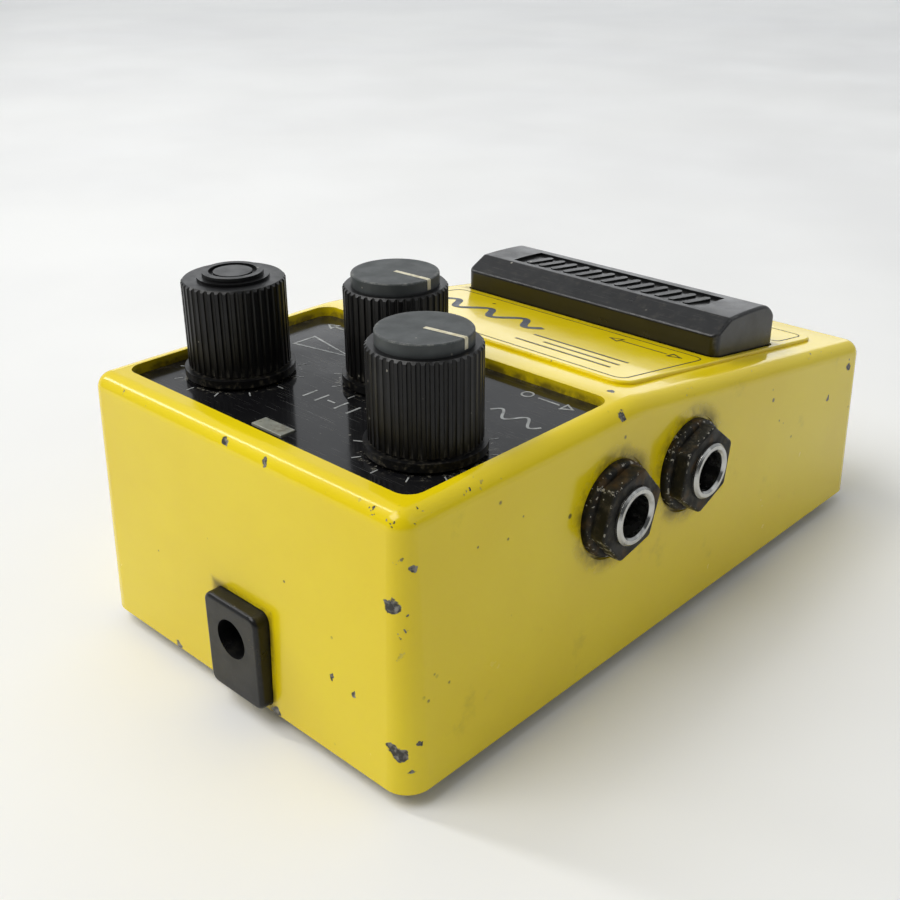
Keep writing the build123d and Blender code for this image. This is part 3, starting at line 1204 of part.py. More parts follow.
snap_back = SNAP_X + SNAP_T
for name, (lead_step, start_y, start_h, rise) in LEADS.items():
    lead_x = LEAD_X - lead_step
    lead_y = CASE_Y + BATTERY_MID_Y + start_y
    lead_z = RIM_Z + STUD_H + start_h
    rise_y = CASE_Y + MAIN_FRONT + rise
    with BuildPart() as lead:
        with BuildLine():
            route = FilletPolyline(
                (snap_back, lead_y, lead_z),
                (lead_x, lead_y, lead_z),
                (lead_x, rise_y, lead_z),
                (lead_x, rise_y, RIM_Z + MAIN_H),
                radius=LEAD_BEND_R,
            )
        with BuildSketch(Plane(route @ 0, z_dir=route % 0)):
            Circle(WIRE_R)
        sweep(path=route)
    save(lead, f"battery_lead_{name}")

for name, (drop, rise) in DC_WIRES.items():
    wire_z = RIM_Z + DC_H - drop
    rise_y = CASE_Y + MAIN_REAR - rise
    with BuildPart() as wire:
        with BuildLine():
            route = FilletPolyline(
                (DC_X, CASE_Y + DC_BACK_Y - DC_TAIL, wire_z),
                (DC_X, rise_y, wire_z),
                (DC_X, rise_y, RIM_Z + MAIN_H),
                radius=DC_WIRE_BEND_R,
            )
        with BuildSketch(Plane(route @ 0, z_dir=route % 0)):
            Circle(WIRE_R)
        sweep(path=route)
    save(wire, f"dc_wire_{name}")

with BuildPart() as switch_cable:
    ribbon_start = CASE_Y + BAR_REAR + RIBBON_START
    ribbon_end = CASE_Y + SWITCH_BOARD_REAR + RIBBON_END
    ribbon_top = RIM_Z + SWITCH_BOARD_TOP + RIBBON_RISE
    with BuildLine():
        route = FilletPolyline(
            (0, ribbon_start, RIM_Z + SWITCH_BOARD_TOP),
            (0, ribbon_start, ribbon_top),
            (0, ribbon_end, ribbon_top),
            (0, ribbon_end, RIM_Z + MAIN_TOP),
            radius=RIBBON_BEND_R,
        )
    with BuildSketch(Plane(route @ 0, x_dir=(1, 0, 0), z_dir=route % 0)):
        Rectangle(RIBBON_W, RIBBON_T)
    sweep(path=route)
save(switch_cable, "switch_cable")
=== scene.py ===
"""Looks of a compact guitar effects pedal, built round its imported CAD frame."""

import math

import bmesh
import bpy
from mathutils import Matrix, Vector
from mathutils.bvhtree import BVHTree


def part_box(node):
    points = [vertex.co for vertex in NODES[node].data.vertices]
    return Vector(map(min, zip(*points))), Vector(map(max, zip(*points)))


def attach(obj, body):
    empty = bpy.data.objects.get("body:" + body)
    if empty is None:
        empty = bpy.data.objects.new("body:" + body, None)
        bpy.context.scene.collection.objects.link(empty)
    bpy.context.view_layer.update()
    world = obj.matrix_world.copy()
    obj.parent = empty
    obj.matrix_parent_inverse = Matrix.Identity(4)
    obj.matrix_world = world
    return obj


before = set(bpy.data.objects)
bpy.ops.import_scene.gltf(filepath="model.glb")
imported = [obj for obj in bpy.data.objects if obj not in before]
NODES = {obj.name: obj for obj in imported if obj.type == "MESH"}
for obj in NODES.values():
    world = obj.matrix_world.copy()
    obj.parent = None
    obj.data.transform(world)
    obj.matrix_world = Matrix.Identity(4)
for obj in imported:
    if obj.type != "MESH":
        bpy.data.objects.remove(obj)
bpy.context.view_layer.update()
MM = 0.001

# ------------------------------------------------------------------ places, from the frame


def middle(node):
    """The middle of a node's box, in metres."""
    low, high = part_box(node)
    return (low + high) / 2


def half(node):
    """Half the size of a node's box, in metres."""
    low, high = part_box(node)
    return (high - low) / 2


KNOB_AXES = {name: middle(f"knob_{name}") for name in ("left", "middle", "right")}
COLLAR_R = half("knob_left").x
JACK_AXES = {name: middle(f"jack_sleeve_{name}") for name in ("rear", "front", "input")}
FLOOR_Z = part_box("rubber_feet")[0].z

# sizes that no node's box gives
NUT_R = 7.4 * MM  # the jacks' nuts, from their axes
JACK_BORE_R = 3.25 * MM
FLUTE_TIP_R, FLUTE_R, CORE_R = 7.72 * MM, 7.45 * MM, 6.6 * MM  # a knob's grooves lie between these
SOCKET_HALF_WIDTH = 6.0 * MM
BAR_OPENING = (27.4 * MM, 9.8 * MM, 0)  # half the length and width that the foot bar goes through
RECESS_LOW_Z, RECESS_HIGH_Z = 38 * MM, 43.4 * MM  # the panel's recess, floor to rim
PAD_FRONT, PAD_REAR = -51.95, 8.05  # ends of the raised pad, in millimetres

# ------------------------------------------------------------------ material building


class Paint:
    """One procedural material. Places are in metres in the part's frame, grain and depths in millimetres."""

    def __init__(self, name, **shader):
        self.material = bpy.data.materials.new(name)
        self.material.use_nodes = True
        self.tree = self.material.node_tree
        self.shader = self.tree.nodes["Principled BSDF"]
        for key, value in shader.items():
            self.shader.inputs[key.replace("_", " ")].default_value = value
        self.place = self.node("ShaderNodeTexCoord").outputs["Object"]
        self.normal = self.node("ShaderNodeNewGeometry").outputs["Normal"]
        parts = self.node("ShaderNodeSeparateXYZ")
        self.feed(parts.inputs[0], self.place)
        self.x, self.y, self.z = parts.outputs
        facing = self.node("ShaderNodeSeparateXYZ")
        self.feed(facing.inputs[0], self.normal)
        self.nx, self.ny, self.nz = facing.outputs

    def node(self, kind, **settings):
        made = self.tree.nodes.new(kind)
        for key, value in settings.items():
            setattr(made, key, value)
        return made

    def feed(self, socket, value):
        if isinstance(value, bpy.types.NodeSocket):
            self.tree.links.new(value, socket)
        else:
            socket.default_value = value

    def sum(self, operation, a, b=0.0):
        made = self.node("ShaderNodeMath", operation=operation)
        for socket, value in zip(made.inputs, (a, b)):
            self.feed(socket, value)
        return made.outputs[0]

    def both(self, *masks):
        found = masks[0]
        for mask in masks[1:]:
            found = self.sum("MULTIPLY", found, mask)
        return found

    def most(self, *masks):
        found = masks[0]
        for mask in masks[1:]:
            found = self.sum("MAXIMUM", found, mask)
        return found

    def inverse(self, mask):
        return self.sum("SUBTRACT", 1.0, mask)

    def step(self, value, start, end, low=0.0, high=1.0):
        """Turns value into low at start and high at end, smoothly."""
        made = self.node("ShaderNodeMapRange", interpolation_type="SMOOTHSTEP")
        for socket, given in zip(made.inputs, (value, start, end, low, high)):
            self.feed(socket, given)
        return made.outputs[0]

    def mix(self, share, a, b):
        made = self.node("ShaderNodeMix", data_type="RGBA")
        self.feed(made.inputs[0], share)
        self.feed(made.inputs[6], a)
        self.feed(made.inputs[7], b)
        return made.outputs[2]

    def shifted(self, place, offset):
        made = self.node("ShaderNodeVectorMath", operation="ADD")
        self.feed(made.inputs[0], place)
        self.feed(made.inputs[1], offset)
        return made.outputs[0]

    def noise(self, size, detail=2.0, rough=0.5, stretch=(1, 1, 1), turn=0.0, seed=0.0):
        """Noise whose grain is about size millimetres, drawn out along an axis by stretch."""
        mapping = self.node("ShaderNodeMapping")
        self.feed(mapping.inputs["Vector"], self.place)
        mapping.inputs["Scale"].default_value = [1 / (size * MM * s) for s in stretch]
        mapping.inputs["Rotation"].default_value = (0, 0, turn)
        mapping.inputs["Location"].default_value = (seed, 1.7 * seed, 2.3 * seed)
        made = self.node("ShaderNodeTexNoise")
        self.feed(made.inputs["Vector"], mapping.outputs[0])
        made.inputs["Scale"].default_value = 1.0
        made.inputs["Detail"].default_value = detail
        made.inputs["Roughness"].default_value = rough
        return made.outputs["Fac"]

    def mottled(self, dark, light, *grain):
        """Two colours that drift into each other in patches: grain is what noise() takes."""
        return self.mix(self.step(self.noise(*grain), 0.3, 0.7), dark, light)

    def specks(self, size, share, seed=0.0, reach=0.16):
        """Small specks in cells of size millimetres: share says how many, reach how wide in their cells."""
        mapping = self.node("ShaderNodeMapping")
        self.feed(mapping.inputs["Vector"], self.place)
        mapping.inputs["Scale"].default_value = [1 / (size * MM)] * 3
        mapping.inputs["Location"].default_value = (seed, seed, seed)
        cells = self.node("ShaderNodeTexVoronoi")
        self.feed(cells.inputs["Vector"], mapping.outputs[0])
        cells.inputs["Scale"].default_value = 1.0
        chance = self.node("ShaderNodeSeparateColor")
        self.feed(chance.inputs[0], cells.outputs["Color"])
        kept = self.step(chance.outputs[0], share, share * 0.8)
        return self.both(kept, self.step(cells.outputs["Distance"], reach, reach / 2))

    def scratches(self, length, width, amount, turns, seed=0.0):
        """Fine straight scratches at a few angles about the upright axis."""
        found = []
        for number, turn in enumerate(turns):
            line = self.noise(width, 1.0, 0.5, (length / width, 1, 1), turn, seed + 3.1 * number)
            found.append(self.step(line, 1 - amount, 1 - amount * 0.9))
        return self.most(*found)

    def edges(self, start=0.972, end=0.86):
        """Where the surface turns between the three axes: the rounded edges."""
        sides = [self.sum("ABSOLUTE", n) for n in (self.nx, self.ny, self.nz)]
        return self.step(self.most(*sides), start, end)

    def reach(self, centre, axes="xyz"):
        """Distance from centre in metres, measured along the named axes only."""
        squares = None
        for axis, value in zip("xyz", centre):
            if axis in axes:
                gap = self.sum("SUBTRACT", getattr(self, axis), value)
                square = self.sum("MULTIPLY", gap, gap)
                squares = square if squares is None else self.sum("ADD", squares, square)
        return self.sum("SQRT", squares)

    def outside(self, centre, halves, axes):
        """How far a point is outside a box, in metres, measured along two axes. Inside, it is below 0."""
        gaps = []
        for axis, value, reach in zip("xyz", centre, halves):
            if axis in axes:
                gap = self.sum("ABSOLUTE", self.sum("SUBTRACT", getattr(self, axis), value))
                gaps.append(self.sum("SUBTRACT", gap, reach))
        return self.most(*gaps)

    def bump(self, height, depth, under=None):
        """Raises the surface by depth millimetres where height is 1."""
        made = self.node("ShaderNodeBump")
        made.inputs["Distance"].default_value = depth * MM
        self.feed(made.inputs["Height"], height)
        if under is not None:
            self.feed(made.inputs["Normal"], under)
        return made.outputs[0]

    def finish(self, colour=None, roughness=None, normal=None, metallic=None):
        for name, value in (
            ("Base Color", colour),
            ("Roughness", roughness),
            ("Normal", normal),
            ("Metallic", metallic),
        ):
            if value is not None:
                self.feed(self.shader.inputs[name], value)
        return self.material


def tone(red, green, blue):
    """A colour from its 0 to 255 values as they show on a screen."""
    linear = [((v / 255 + 0.055) / 1.055) ** 2.4 if v > 10 else v / 255 / 12.92 for v in (red, green, blue)]
    return (*linear, 1.0)


def times(colour, factor):
    """A colour made darker or lighter."""
    return (*(min(1.0, v * factor) for v in colour[:3]), 1.0)


def wear(node, material):
    """Gives a CAD node its material."""
    NODES[node].data.materials.clear()
    NODES[node].data.materials.append(material)


# ------------------------------------------------------------------ the casing's paint

YELLOW = tone(240, 215, 14)
YELLOW_DEEP = tone(236, 209, 8)
CHIP = tone(46, 45, 44)
GRIME_AND_SHADE = tone(92, 74, 22)
SOOT = tone(58, 52, 30)

# where chips are, in millimetres: x, y, z and size
CHIPS = (
    (0.5, 58.7, 42.5, 0.8),
    (-8, 58.8, 42.4, 0.6),
    (-31.9, 58.9, 31, 1.1),
    (-33.9, 57.1, 36, 0.6),
    (-32.0, 59.6, 9.8, 0.8),
    (-33.0, 59.2, 8.8, 1.0),
    (-34.3, 58.4, 6.3, 0.5),
    (-34.7, 57.2, 10.5, 0.4),
    (-20.6, 59.7, 15.3, 0.5),
    (-24.9, 59.7, 14.5, 0.35),
    (-33.7, 15.2, 42.5, 0.9),
    (-33.8, -21.5, 39.0, 0.9),
    (-28.5, 11.5, 43.5, 0.6),
    (-34.1, -55.6, 29.0, 0.7),
    (-34.3, -48.7, 25.0, 0.5),
    (-33.6, -35, 37.0, 0.7),
    (-8.1, 60.0, 3.0, 0.9),
    (15.7, 60.1, 3.0, 0.7),
    (33.9, 40, 42.2, 0.8),
    (34.6, 60.2, 22.0, 1.1),
    (33.9, -12, 39.8, 0.7),
    (34.9, -61, 12.0, 1.2),
    (-34.4, -61, 24.0, 0.9),
    (10, -61.5, 33.8, 0.8),
    (-16, -61.6, 33.4, 0.6),
)
CLUSTER = (-34.5 * MM, 53.8 * MM, 18 * MM)  # small dark specks beside the rear corner
RAGGED = 1.6 * MM  # how far the noise pulls a chip's outline about


def casing_paint():
    """Yellow enamel: browned with grime round its jack nuts and power socket, painted dark as shade on its
    recess walls and round the bar's opening, specked, and chipped to the metal at edges and corners.
    """
    p = Paint("casing_paint", Coat_Weight=0.3, Coat_Roughness=0.04, Specular_IOR_Level=0.3)
    colour = p.mix(p.step(p.noise(26, 3), 0.35, 0.68), YELLOW_DEEP, YELLOW)

    # Brown grime round the jack nuts and the power socket, and painted shade on the walls of the panel's
    # recess and on the top round the bar's opening, all in one brown. on_side and on_rear take the opposite
    # faces as well, so the same marks show there.
    blotching = p.step(p.noise(3.5, 4, 0.65), 0.30, 0.62)
    on_side = p.step(p.sum("ABSOLUTE", p.nx), 0.8, 0.95)
    on_rear = p.step(p.sum("ABSOLUTE", p.ny), 0.8, 0.95)
    halos = [
        p.both(p.step(p.reach(JACK_AXES[name], "yz"), NUT_R + 3.2 * MM, NUT_R), on_side)
        for name in ("rear", "front")
    ]
    socket_gap = p.outside(middle("dc_jack_body"), (SOCKET_HALF_WIDTH, 0, half("dc_jack_body").z), "xz")
    halos.append(p.both(p.step(socket_gap, 1.4 * MM, 0.0), on_rear))
    # painted shade, not grime: the walls of the panel's recess darkened
    recess_gap = p.sum("ABSOLUTE", p.outside(middle("panel_plate"), half("panel_plate"), "xy"))
    near_panel = p.both(
        p.step(p.z, RECESS_LOW_Z, RECESS_LOW_Z + 2 * MM),
        p.step(p.z, RECESS_HIGH_Z, RECESS_HIGH_Z - 1.1 * MM),
    )
    halos.append(p.both(p.step(recess_gap, 2.0 * MM, 0.3 * MM), near_panel))
    # painted shade, not grime: the top round the bar's opening darkened
    bar_gap = p.outside(middle("treadle"), BAR_OPENING, "xy")
    halos.append(p.both(p.step(bar_gap, 1.3 * MM, 0.2 * MM), p.step(p.nz, 0.8, 0.95), 0.6))
    # grime round the nuts and socket together with the painted shade at the recess and the bar
    grime_and_shade = p.both(p.most(*halos), blotching)
    colour = p.mix(p.both(grime_and_shade, 0.8), colour, GRIME_AND_SHADE)

    # dull handling marks and a few dark specks
    rubbed = p.both(p.step(p.noise(9, 5, 0.6, seed=4), 0.60, 0.78), on_side, 0.2)
    colour = p.mix(rubbed, colour, SOOT)
    flung = p.both(p.specks(1.9, 0.07, 5), p.step(p.noise(16), 0.5, 0.62))
    cluster = p.both(p.step(p.reach(CLUSTER), 3.2 * MM, 2.2 * MM), p.specks(1.3, 0.45, 2, 0.3))
    specks = p.most(p.specks(3.1, 0.03, 1), flung, cluster)
    colour = p.mix(p.both(specks, 0.85), colour, SOOT)

    # chips through to the metal: along the rounded edges, and at the places seen
    broken = p.step(p.noise(1.7, 3, 0.65, seed=2), 0.64, 0.665)
    along = p.both(p.edges(), broken, p.step(p.noise(15, 2, seed=6), 0.50, 0.60))
    rag = p.node("ShaderNodeTexNoise")
    p.feed(rag.inputs["Vector"], p.place)
    rag.inputs["Scale"].default_value = 1 / (0.9 * MM)
    ragged = p.node("ShaderNodeVectorMath", operation="MULTIPLY_ADD")
    p.feed(ragged.inputs[0], rag.outputs["Color"])
    ragged.inputs[1].default_value = (RAGGED,) * 3
    ragged.inputs[2].default_value = (-RAGGED / 2,) * 3
    wobbled = p.shifted(p.place, ragged.outputs[0])
    spots = []
    for x, y, z, size in CHIPS:
        gap = p.node("ShaderNodeVectorMath", operation="DISTANCE")
        p.feed(gap.inputs[0], wobbled)
        gap.inputs[1].default_value = (x * MM, y * MM, z * MM)
        spots.append(p.step(gap.outputs["Value"], size * 1.15 * MM, size * 0.95 * MM))
    chips = p.most(along, *spots)
    colour = p.mix(chips, colour, p.mix(p.step(p.noise(0.7, 3), 0.4, 0.65), CHIP, tone(138, 135, 128)))

    roughness = p.step(p.noise(6, 4, 0.6, seed=9), 0.2, 0.8, 0.16, 0.28)
    roughness = p.sum("ADD", roughness, p.both(p.most(grime_and_shade, chips), 0.35))
    peel = p.bump(p.noise(1.5, 1), 0.012)
    peel = p.bump(p.noise(7, 1, seed=3), 0.02, peel)
    return p.finish(colour, roughness, p.bump(p.inverse(chips), 0.08, peel))


# ------------------------------------------------------------------ the panel and other mouldings


def panel_gloss():
    """Gloss black sheet: hazed, lightly scratched, with dust round the knobs and dirt at its border."""
    p = Paint("panel_gloss", IOR=1.45, Coat_Weight=0.1, Coat_Roughness=0.03)
    colour = p.mottled(tone(17, 17, 19), tone(27, 27, 28), 14, 3)
    rings = [
        p.both(
            p.step(p.reach(axis, "xy"), COLLAR_R + 1.6 * MM, COLLAR_R + 0.3 * MM),
            p.step(p.reach(axis, "xy"), COLLAR_R - 1.6 * MM, COLLAR_R - 0.2 * MM),
        )
        for axis in KNOB_AXES.values()
    ]
    dust = p.both(p.most(*rings), p.step(p.noise(1.1, 4, 0.7), 0.52, 0.72))
    lint = p.both(p.specks(1.6, 0.12, 3), p.step(p.noise(9), 0.45, 0.6))
    marks = p.scratches(9, 0.09, 0.27, (0.3, 1.9, -0.7))
    edge_gap = p.outside(middle("panel_plate"), half("panel_plate"), "xy")
    border = p.both(p.step(edge_gap, -1.6 * MM, -0.1 * MM), p.step(p.noise(1.6, 4, 0.7, seed=5), 0.4, 0.75))
    colour = p.mix(p.both(dust, 0.55), colour, tone(150, 146, 132))
    colour = p.mix(p.both(lint, 0.6), colour, tone(150, 148, 140))
    colour = p.mix(p.both(border, 0.5), colour, tone(96, 88, 60))
    colour = p.mix(p.both(marks, 0.25), colour, tone(120, 120, 118))
    haze = p.step(p.noise(11, 5, 0.6, seed=8), 0.3, 0.8, 0.07, 0.20)
    roughness = p.sum("ADD", haze, p.both(p.most(dust, marks, border), 0.3))
    normal = p.bump(p.noise(5, 1), 0.01, p.bump(p.inverse(marks), 0.004))
    return p.finish(colour, roughness, normal)


def moulding(name, base, shine=0.38, grain=0.25, rub=0.35, dusty=0.25, coat=0.0):
    """Moulded plastic: fine grain, rubbed edges, dust in patches and a few hairline scratches."""
    p = Paint(name, Specular_IOR_Level=0.32, Coat_Weight=coat, Coat_Roughness=0.15)
    colour = p.mottled(times(base, 0.8), times(base, 1.25), 6, 4, 0.6)
    rubbed = p.both(p.edges(0.93, 0.75), p.step(p.noise(1.6, 4, 0.6, seed=2), 0.35, 0.65), rub)
    colour = p.mix(rubbed, colour, times(base, 4.5))
    upward = p.step(p.nz, 0.4, 0.95, 0.35, 1.0)
    dust = p.both(p.step(p.noise(2.4, 5, 0.7, seed=6), 0.5, 0.78), upward, dusty)
    colour = p.mix(dust, colour, tone(140, 134, 118))
    lint = p.both(p.specks(1.2, 0.10, 4), min(1.0, dusty * 2))
    colour = p.mix(lint, colour, tone(165, 160, 148))
    marks = p.scratches(5, 0.07, 0.26, (0.5, 2.2), 1.0)
    roughness = p.step(p.noise(4, 4, 0.6, seed=5), 0.25, 0.75, shine - 0.08, shine + 0.1)
    roughness = p.sum("SUBTRACT", roughness, p.both(rubbed, 0.2))
    normal = p.bump(p.noise(grain, 2), 0.008, p.bump(p.inverse(marks), 0.006))
    return p.finish(colour, p.sum("ADD", roughness, p.both(dust, 0.3)), normal)


def knob_plastic(name, axis):
    """Satin black with pale dust at the bottoms of the flutes and on the collar."""
    p = Paint(f"knob_plastic_{name}", Specular_IOR_Level=0.3)
    base = tone(14, 14, 15)
    colour = p.mottled(times(base, 0.75), times(base, 1.3), 5, 3)
    radius = p.reach(axis, "xy")
    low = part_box(f"knob_{name}")[0].z
    valley = p.both(p.step(radius, FLUTE_TIP_R, FLUTE_R), p.step(radius, CORE_R, CORE_R + 0.5 * MM))
    near_foot = p.step(p.z, low + 3.2 * MM, low + 1.3 * MM)
    mottle = p.step(p.noise(1.0, 4, 0.7, stretch=(1, 1, 3)), 0.42, 0.72)
    dust = p.both(valley, mottle, p.sum("ADD", p.both(near_foot, 0.5), 0.02))
    on_collar = p.step(p.z, low + 2.0 * MM, low + 0.6 * MM)
    collar = p.both(on_collar, p.step(p.noise(0.9, 4, 0.7, seed=3), 0.5, 0.75))
    lint = p.both(p.specks(1.4, 0.08, 7), 0.7)
    colour = p.mix(dust, colour, tone(150, 146, 132))
    colour = p.mix(p.both(collar, 0.4), colour, tone(140, 132, 112))
    colour = p.mix(lint, colour, tone(160, 156, 146))
    rubbed = p.both(p.edges(0.9, 0.7), p.step(p.nz, 0.15, 0.5), p.step(p.noise(1.5, 3), 0.4, 0.7), 0.5)
    colour = p.mix(rubbed, colour, tone(92, 92, 92))
    roughness = p.step(p.noise(3, 4, 0.6, seed=5), 0.25, 0.75, 0.30, 0.44)
    roughness = p.sum("ADD", roughness, p.both(p.most(dust, collar), 0.3))
    return p.finish(colour, roughness, p.bump(p.noise(0.3, 2), 0.006))


def cap_plastic(name):
    """Matt dark grey top, faintly mottled, with pale wear round its rim."""
    p = Paint(f"cap_plastic_{name}", IOR=1.45)
    axis, reach = middle(f"knob_cap_{name}"), half(f"knob_cap_{name}").x
    base = tone(62, 66, 66)
    colour = p.mottled(times(base, 0.82), times(base, 1.12), 3.5, 4, 0.6)
    rim = p.step(p.reach(axis, "xy"), reach - 0.7 * MM, reach - 0.15 * MM)
    worn = p.both(rim, p.step(p.nz, 0.2, 0.6), p.step(p.noise(1.2, 4, 0.7), 0.42, 0.7), 0.6)
    colour = p.mix(worn, colour, tone(130, 130, 124))
    colour = p.mix(p.both(p.specks(1.1, 0.12, 2), 0.5), colour, tone(165, 162, 150))
    marks = p.scratches(4, 0.06, 0.25, (0.9, 2.6), 2.0)
    roughness = p.step(p.noise(2.5, 3, seed=4), 0.25, 0.75, 0.46, 0.6)
    return p.finish(colour, roughness, p.bump(p.noise(0.22, 2), 0.01, p.bump(p.inverse(marks), 0.005)))


def pointer_cream():
    """Cream inlay, unevenly aged and soiled."""
    p = Paint("pointer_cream", IOR=1.5)
    colour = p.mottled(tone(196, 186, 150), tone(222, 216, 190), 1.2, 4, 0.6)
    soil = p.both(p.step(p.noise(0.7, 3, 0.6, seed=5), 0.52, 0.72), 0.55)
    colour = p.mix(soil, colour, tone(120, 108, 78))
    return p.finish(colour, p.step(p.noise(0.8, 2), 0.3, 0.7, 0.35, 0.55), p.bump(p.noise(0.4, 2), 0.006))


def lamp_lens():
    """Milky window, browned at one end, over a dull reflector."""
    p = Paint("lamp_lens", IOR=1.5, Coat_Weight=0.6, Coat_Roughness=0.12, Subsurface_Weight=0.15)
    p.shader.inputs["Subsurface Radius"].default_value = (MM, 0.8 * MM, 0.5 * MM)
    colour = p.mottled(tone(132, 133, 123), tone(156, 157, 145), 2.2, 3)
    spot = middle("led") + Vector((-1.4 * MM, -0.2 * MM, 0))
    stain = p.both(p.step(p.reach(spot, "xy"), 1.9 * MM, 0.5 * MM), p.step(p.noise(0.8, 3), 0.3, 0.6))
    colour = p.mix(p.both(stain, 0.65), colour, tone(74, 58, 36))
    return p.finish(colour, p.step(p.noise(1.5, 3), 0.3, 0.7, 0.25, 0.42), p.bump(p.noise(0.8, 2), 0.01))


def nut_plastic():
    """Worn black plastic, dusty, stained brown, with tiny white scratches on its rims."""
    p = Paint("nut_plastic", Specular_IOR_Level=0.25)
    base = tone(22, 21, 17)
    colour = p.mottled(times(base, 0.7), times(base, 1.35), 2.2, 4, 0.6)
    dust = p.both(p.step(p.noise(1.3, 5, 0.7, seed=3), 0.46, 0.8), 0.4)
    colour = p.mix(dust, colour, tone(104, 96, 76))
    stain = p.both(p.step(p.noise(3.0, 3, seed=7), 0.52, 0.68), 0.55)
    colour = p.mix(stain, colour, tone(84, 62, 30))
    nicks = p.both(p.edges(0.95, 0.8), p.step(p.noise(0.7, 3, 0.6, seed=1), 0.56, 0.62), 0.8)
    colour = p.mix(nicks, colour, tone(180, 176, 164))
    colour = p.mix(p.both(p.specks(0.9, 0.16, 6), 0.8), colour, tone(196, 192, 180))
    roughness = p.step(p.noise(1.8, 3), 0.3, 0.7, 0.42, 0.66)
    return p.finish(colour, roughness, p.bump(p.noise(0.5, 3, 0.6), 0.03))


def treadle_plastic():
    """Satin black foot bar: rubbed along its edges, scuffed on top, dust in the sunk field."""
    p = Paint("treadle_plastic", Specular_IOR_Level=0.45, Coat_Weight=0.1, Coat_Roughness=0.18)
    base = tone(11, 11, 12)
    colour = p.mottled(times(base, 0.75), times(base, 1.35), 9, 4, 0.6)
    rubbed = p.both(p.edges(0.93, 0.78), p.step(p.noise(2.2, 4, 0.65, seed=4), 0.40, 0.72), 0.5)
    colour = p.mix(rubbed, colour, tone(104, 104, 104))
    upward = p.step(p.nz, 0.8, 0.97)
    scuffs = p.both(p.scratches(7, 0.12, 0.28, (0.2, 1.3, -0.9), 4.0), upward)
    colour = p.mix(p.both(scuffs, 0.35), colour, tone(110, 108, 104))
    dust = p.both(p.step(p.noise(1.6, 5, 0.7, seed=8), 0.48, 0.8), upward, 0.25)
    colour = p.mix(dust, colour, tone(112, 106, 92))
    colour = p.mix(p.both(p.specks(1.8, 0.08, 9), 0.7), colour, tone(170, 166, 156))
    roughness = p.step(p.noise(5, 4, 0.6, seed=5), 0.25, 0.75, 0.26, 0.42)
    roughness = p.sum("ADD", roughness, p.both(p.most(dust, scuffs), 0.25))
    normal = p.bump(p.noise(0.28, 2), 0.006, p.bump(p.inverse(scuffs), 0.006))
    return p.finish(colour, roughness, normal)


# ------------------------------------------------------------------ metals


def metal(name, base, shine=0.28, stretch=(1, 1, 1), dull=0.3, grain=0.5):
    """Sheet, plated or drawn metal: the grain runs along stretch, with dull and oily patches."""
    p = Paint(name, Metallic=1.0)
    colour = p.mottled(times(base, 0.82), times(base, 1.08), 7, 4, 0.6)
    tarnish = p.both(p.step(p.noise(4, 5, 0.65, seed=4), 0.52, 0.78), dull)
    colour = p.mix(tarnish, colour, times(base, 0.38))
    lines = p.noise(grain, 3, 0.6, stretch, seed=2)
    roughness = p.step(p.noise(5, 4, 0.6, seed=6), 0.25, 0.75, shine - 0.07, shine + 0.12)
    roughness = p.sum("ADD", roughness, p.both(tarnish, 0.3))
    return p.finish(colour, roughness, p.bump(lines, 0.01))


def turned(name, base, axis, axes, shine=0.22, pitch=0.16, bore_shade_r=None):
    """Turned metal: machining rings round an axis. Its last argument is a radius within which the metal is
    painted darker, as shade in a bore.
    """
    p = Paint(name, Metallic=1.0)
    radius = p.reach(axis, axes)
    along = {"yz": p.x, "xz": p.y, "xy": p.z}[axes]
    rings = p.sum("SINE", p.sum("MULTIPLY", p.sum("ADD", radius, along), math.tau / (pitch * MM)))
    colour = p.mottled(times(base, 0.86), times(base, 1.08), 2.5, 4, 0.6)
    tarnish = p.both(p.step(p.noise(1.8, 4, 0.65, seed=4), 0.54, 0.76), 0.5)
    if bore_shade_r is not None:
        # painted shade: the metal inside the bore radius darkened, carried along in tarnish
        tarnish = p.most(tarnish, p.step(radius, bore_shade_r + 0.15 * MM, bore_shade_r - 0.1 * MM, 0.0, 0.3))
    colour = p.mix(tarnish, colour, times(base, 0.22))
    roughness = p.step(p.noise(1.5, 3, seed=6), 0.25, 0.75, shine - 0.05, shine + 0.1)
    roughness = p.sum("ADD", roughness, p.both(tarnish, 0.3))
    return p.finish(colour, roughness, p.bump(rings, 0.004, p.bump(p.noise(0.6, 3), 0.01)))


# ------------------------------------------------------------------ what is inside


def board_green(name):
    """Laminate: solder mask over copper tracks, with small bright pads."""
    p = Paint(name, IOR=1.5, Coat_Weight=0.4, Coat_Roughness=0.2)
    mask, copper = tone(14, 78, 40), tone(40, 122, 62)
    colour = p.mottled(times(mask, 0.85), times(mask, 1.2), 12, 3)
    tracks = []
    for axis, other, shift in ((p.x, p.y, 0.0), (p.y, p.x, 0.5)):
        lines = p.sum("FRACT", p.sum("ADD", p.sum("DIVIDE", axis, 2.54 * MM), shift))
        centred = p.sum("ABSOLUTE", p.sum("SUBTRACT", lines, 0.5))
        present = p.step(p.noise(6, 1, seed=3 + shift * 8), 0.47, 0.5)
        tracks.append(p.both(p.step(centred, 0.16, 0.12), present))
    track = p.most(*tracks)
    colour = p.mix(p.both(track, 0.8), colour, copper)
    pads = p.specks(2.54, 0.5, 1)
    colour = p.mix(pads, colour, tone(176, 172, 160))
    flux = p.both(p.step(p.noise(3, 4, 0.6, seed=7), 0.58, 0.75), 0.4)
    colour = p.mix(flux, colour, tone(120, 96, 40))
    roughness = p.step(p.noise(4, 3), 0.3, 0.7, 0.28, 0.42)
    return p.finish(colour, roughness, p.bump(p.most(track, pads), 0.035))


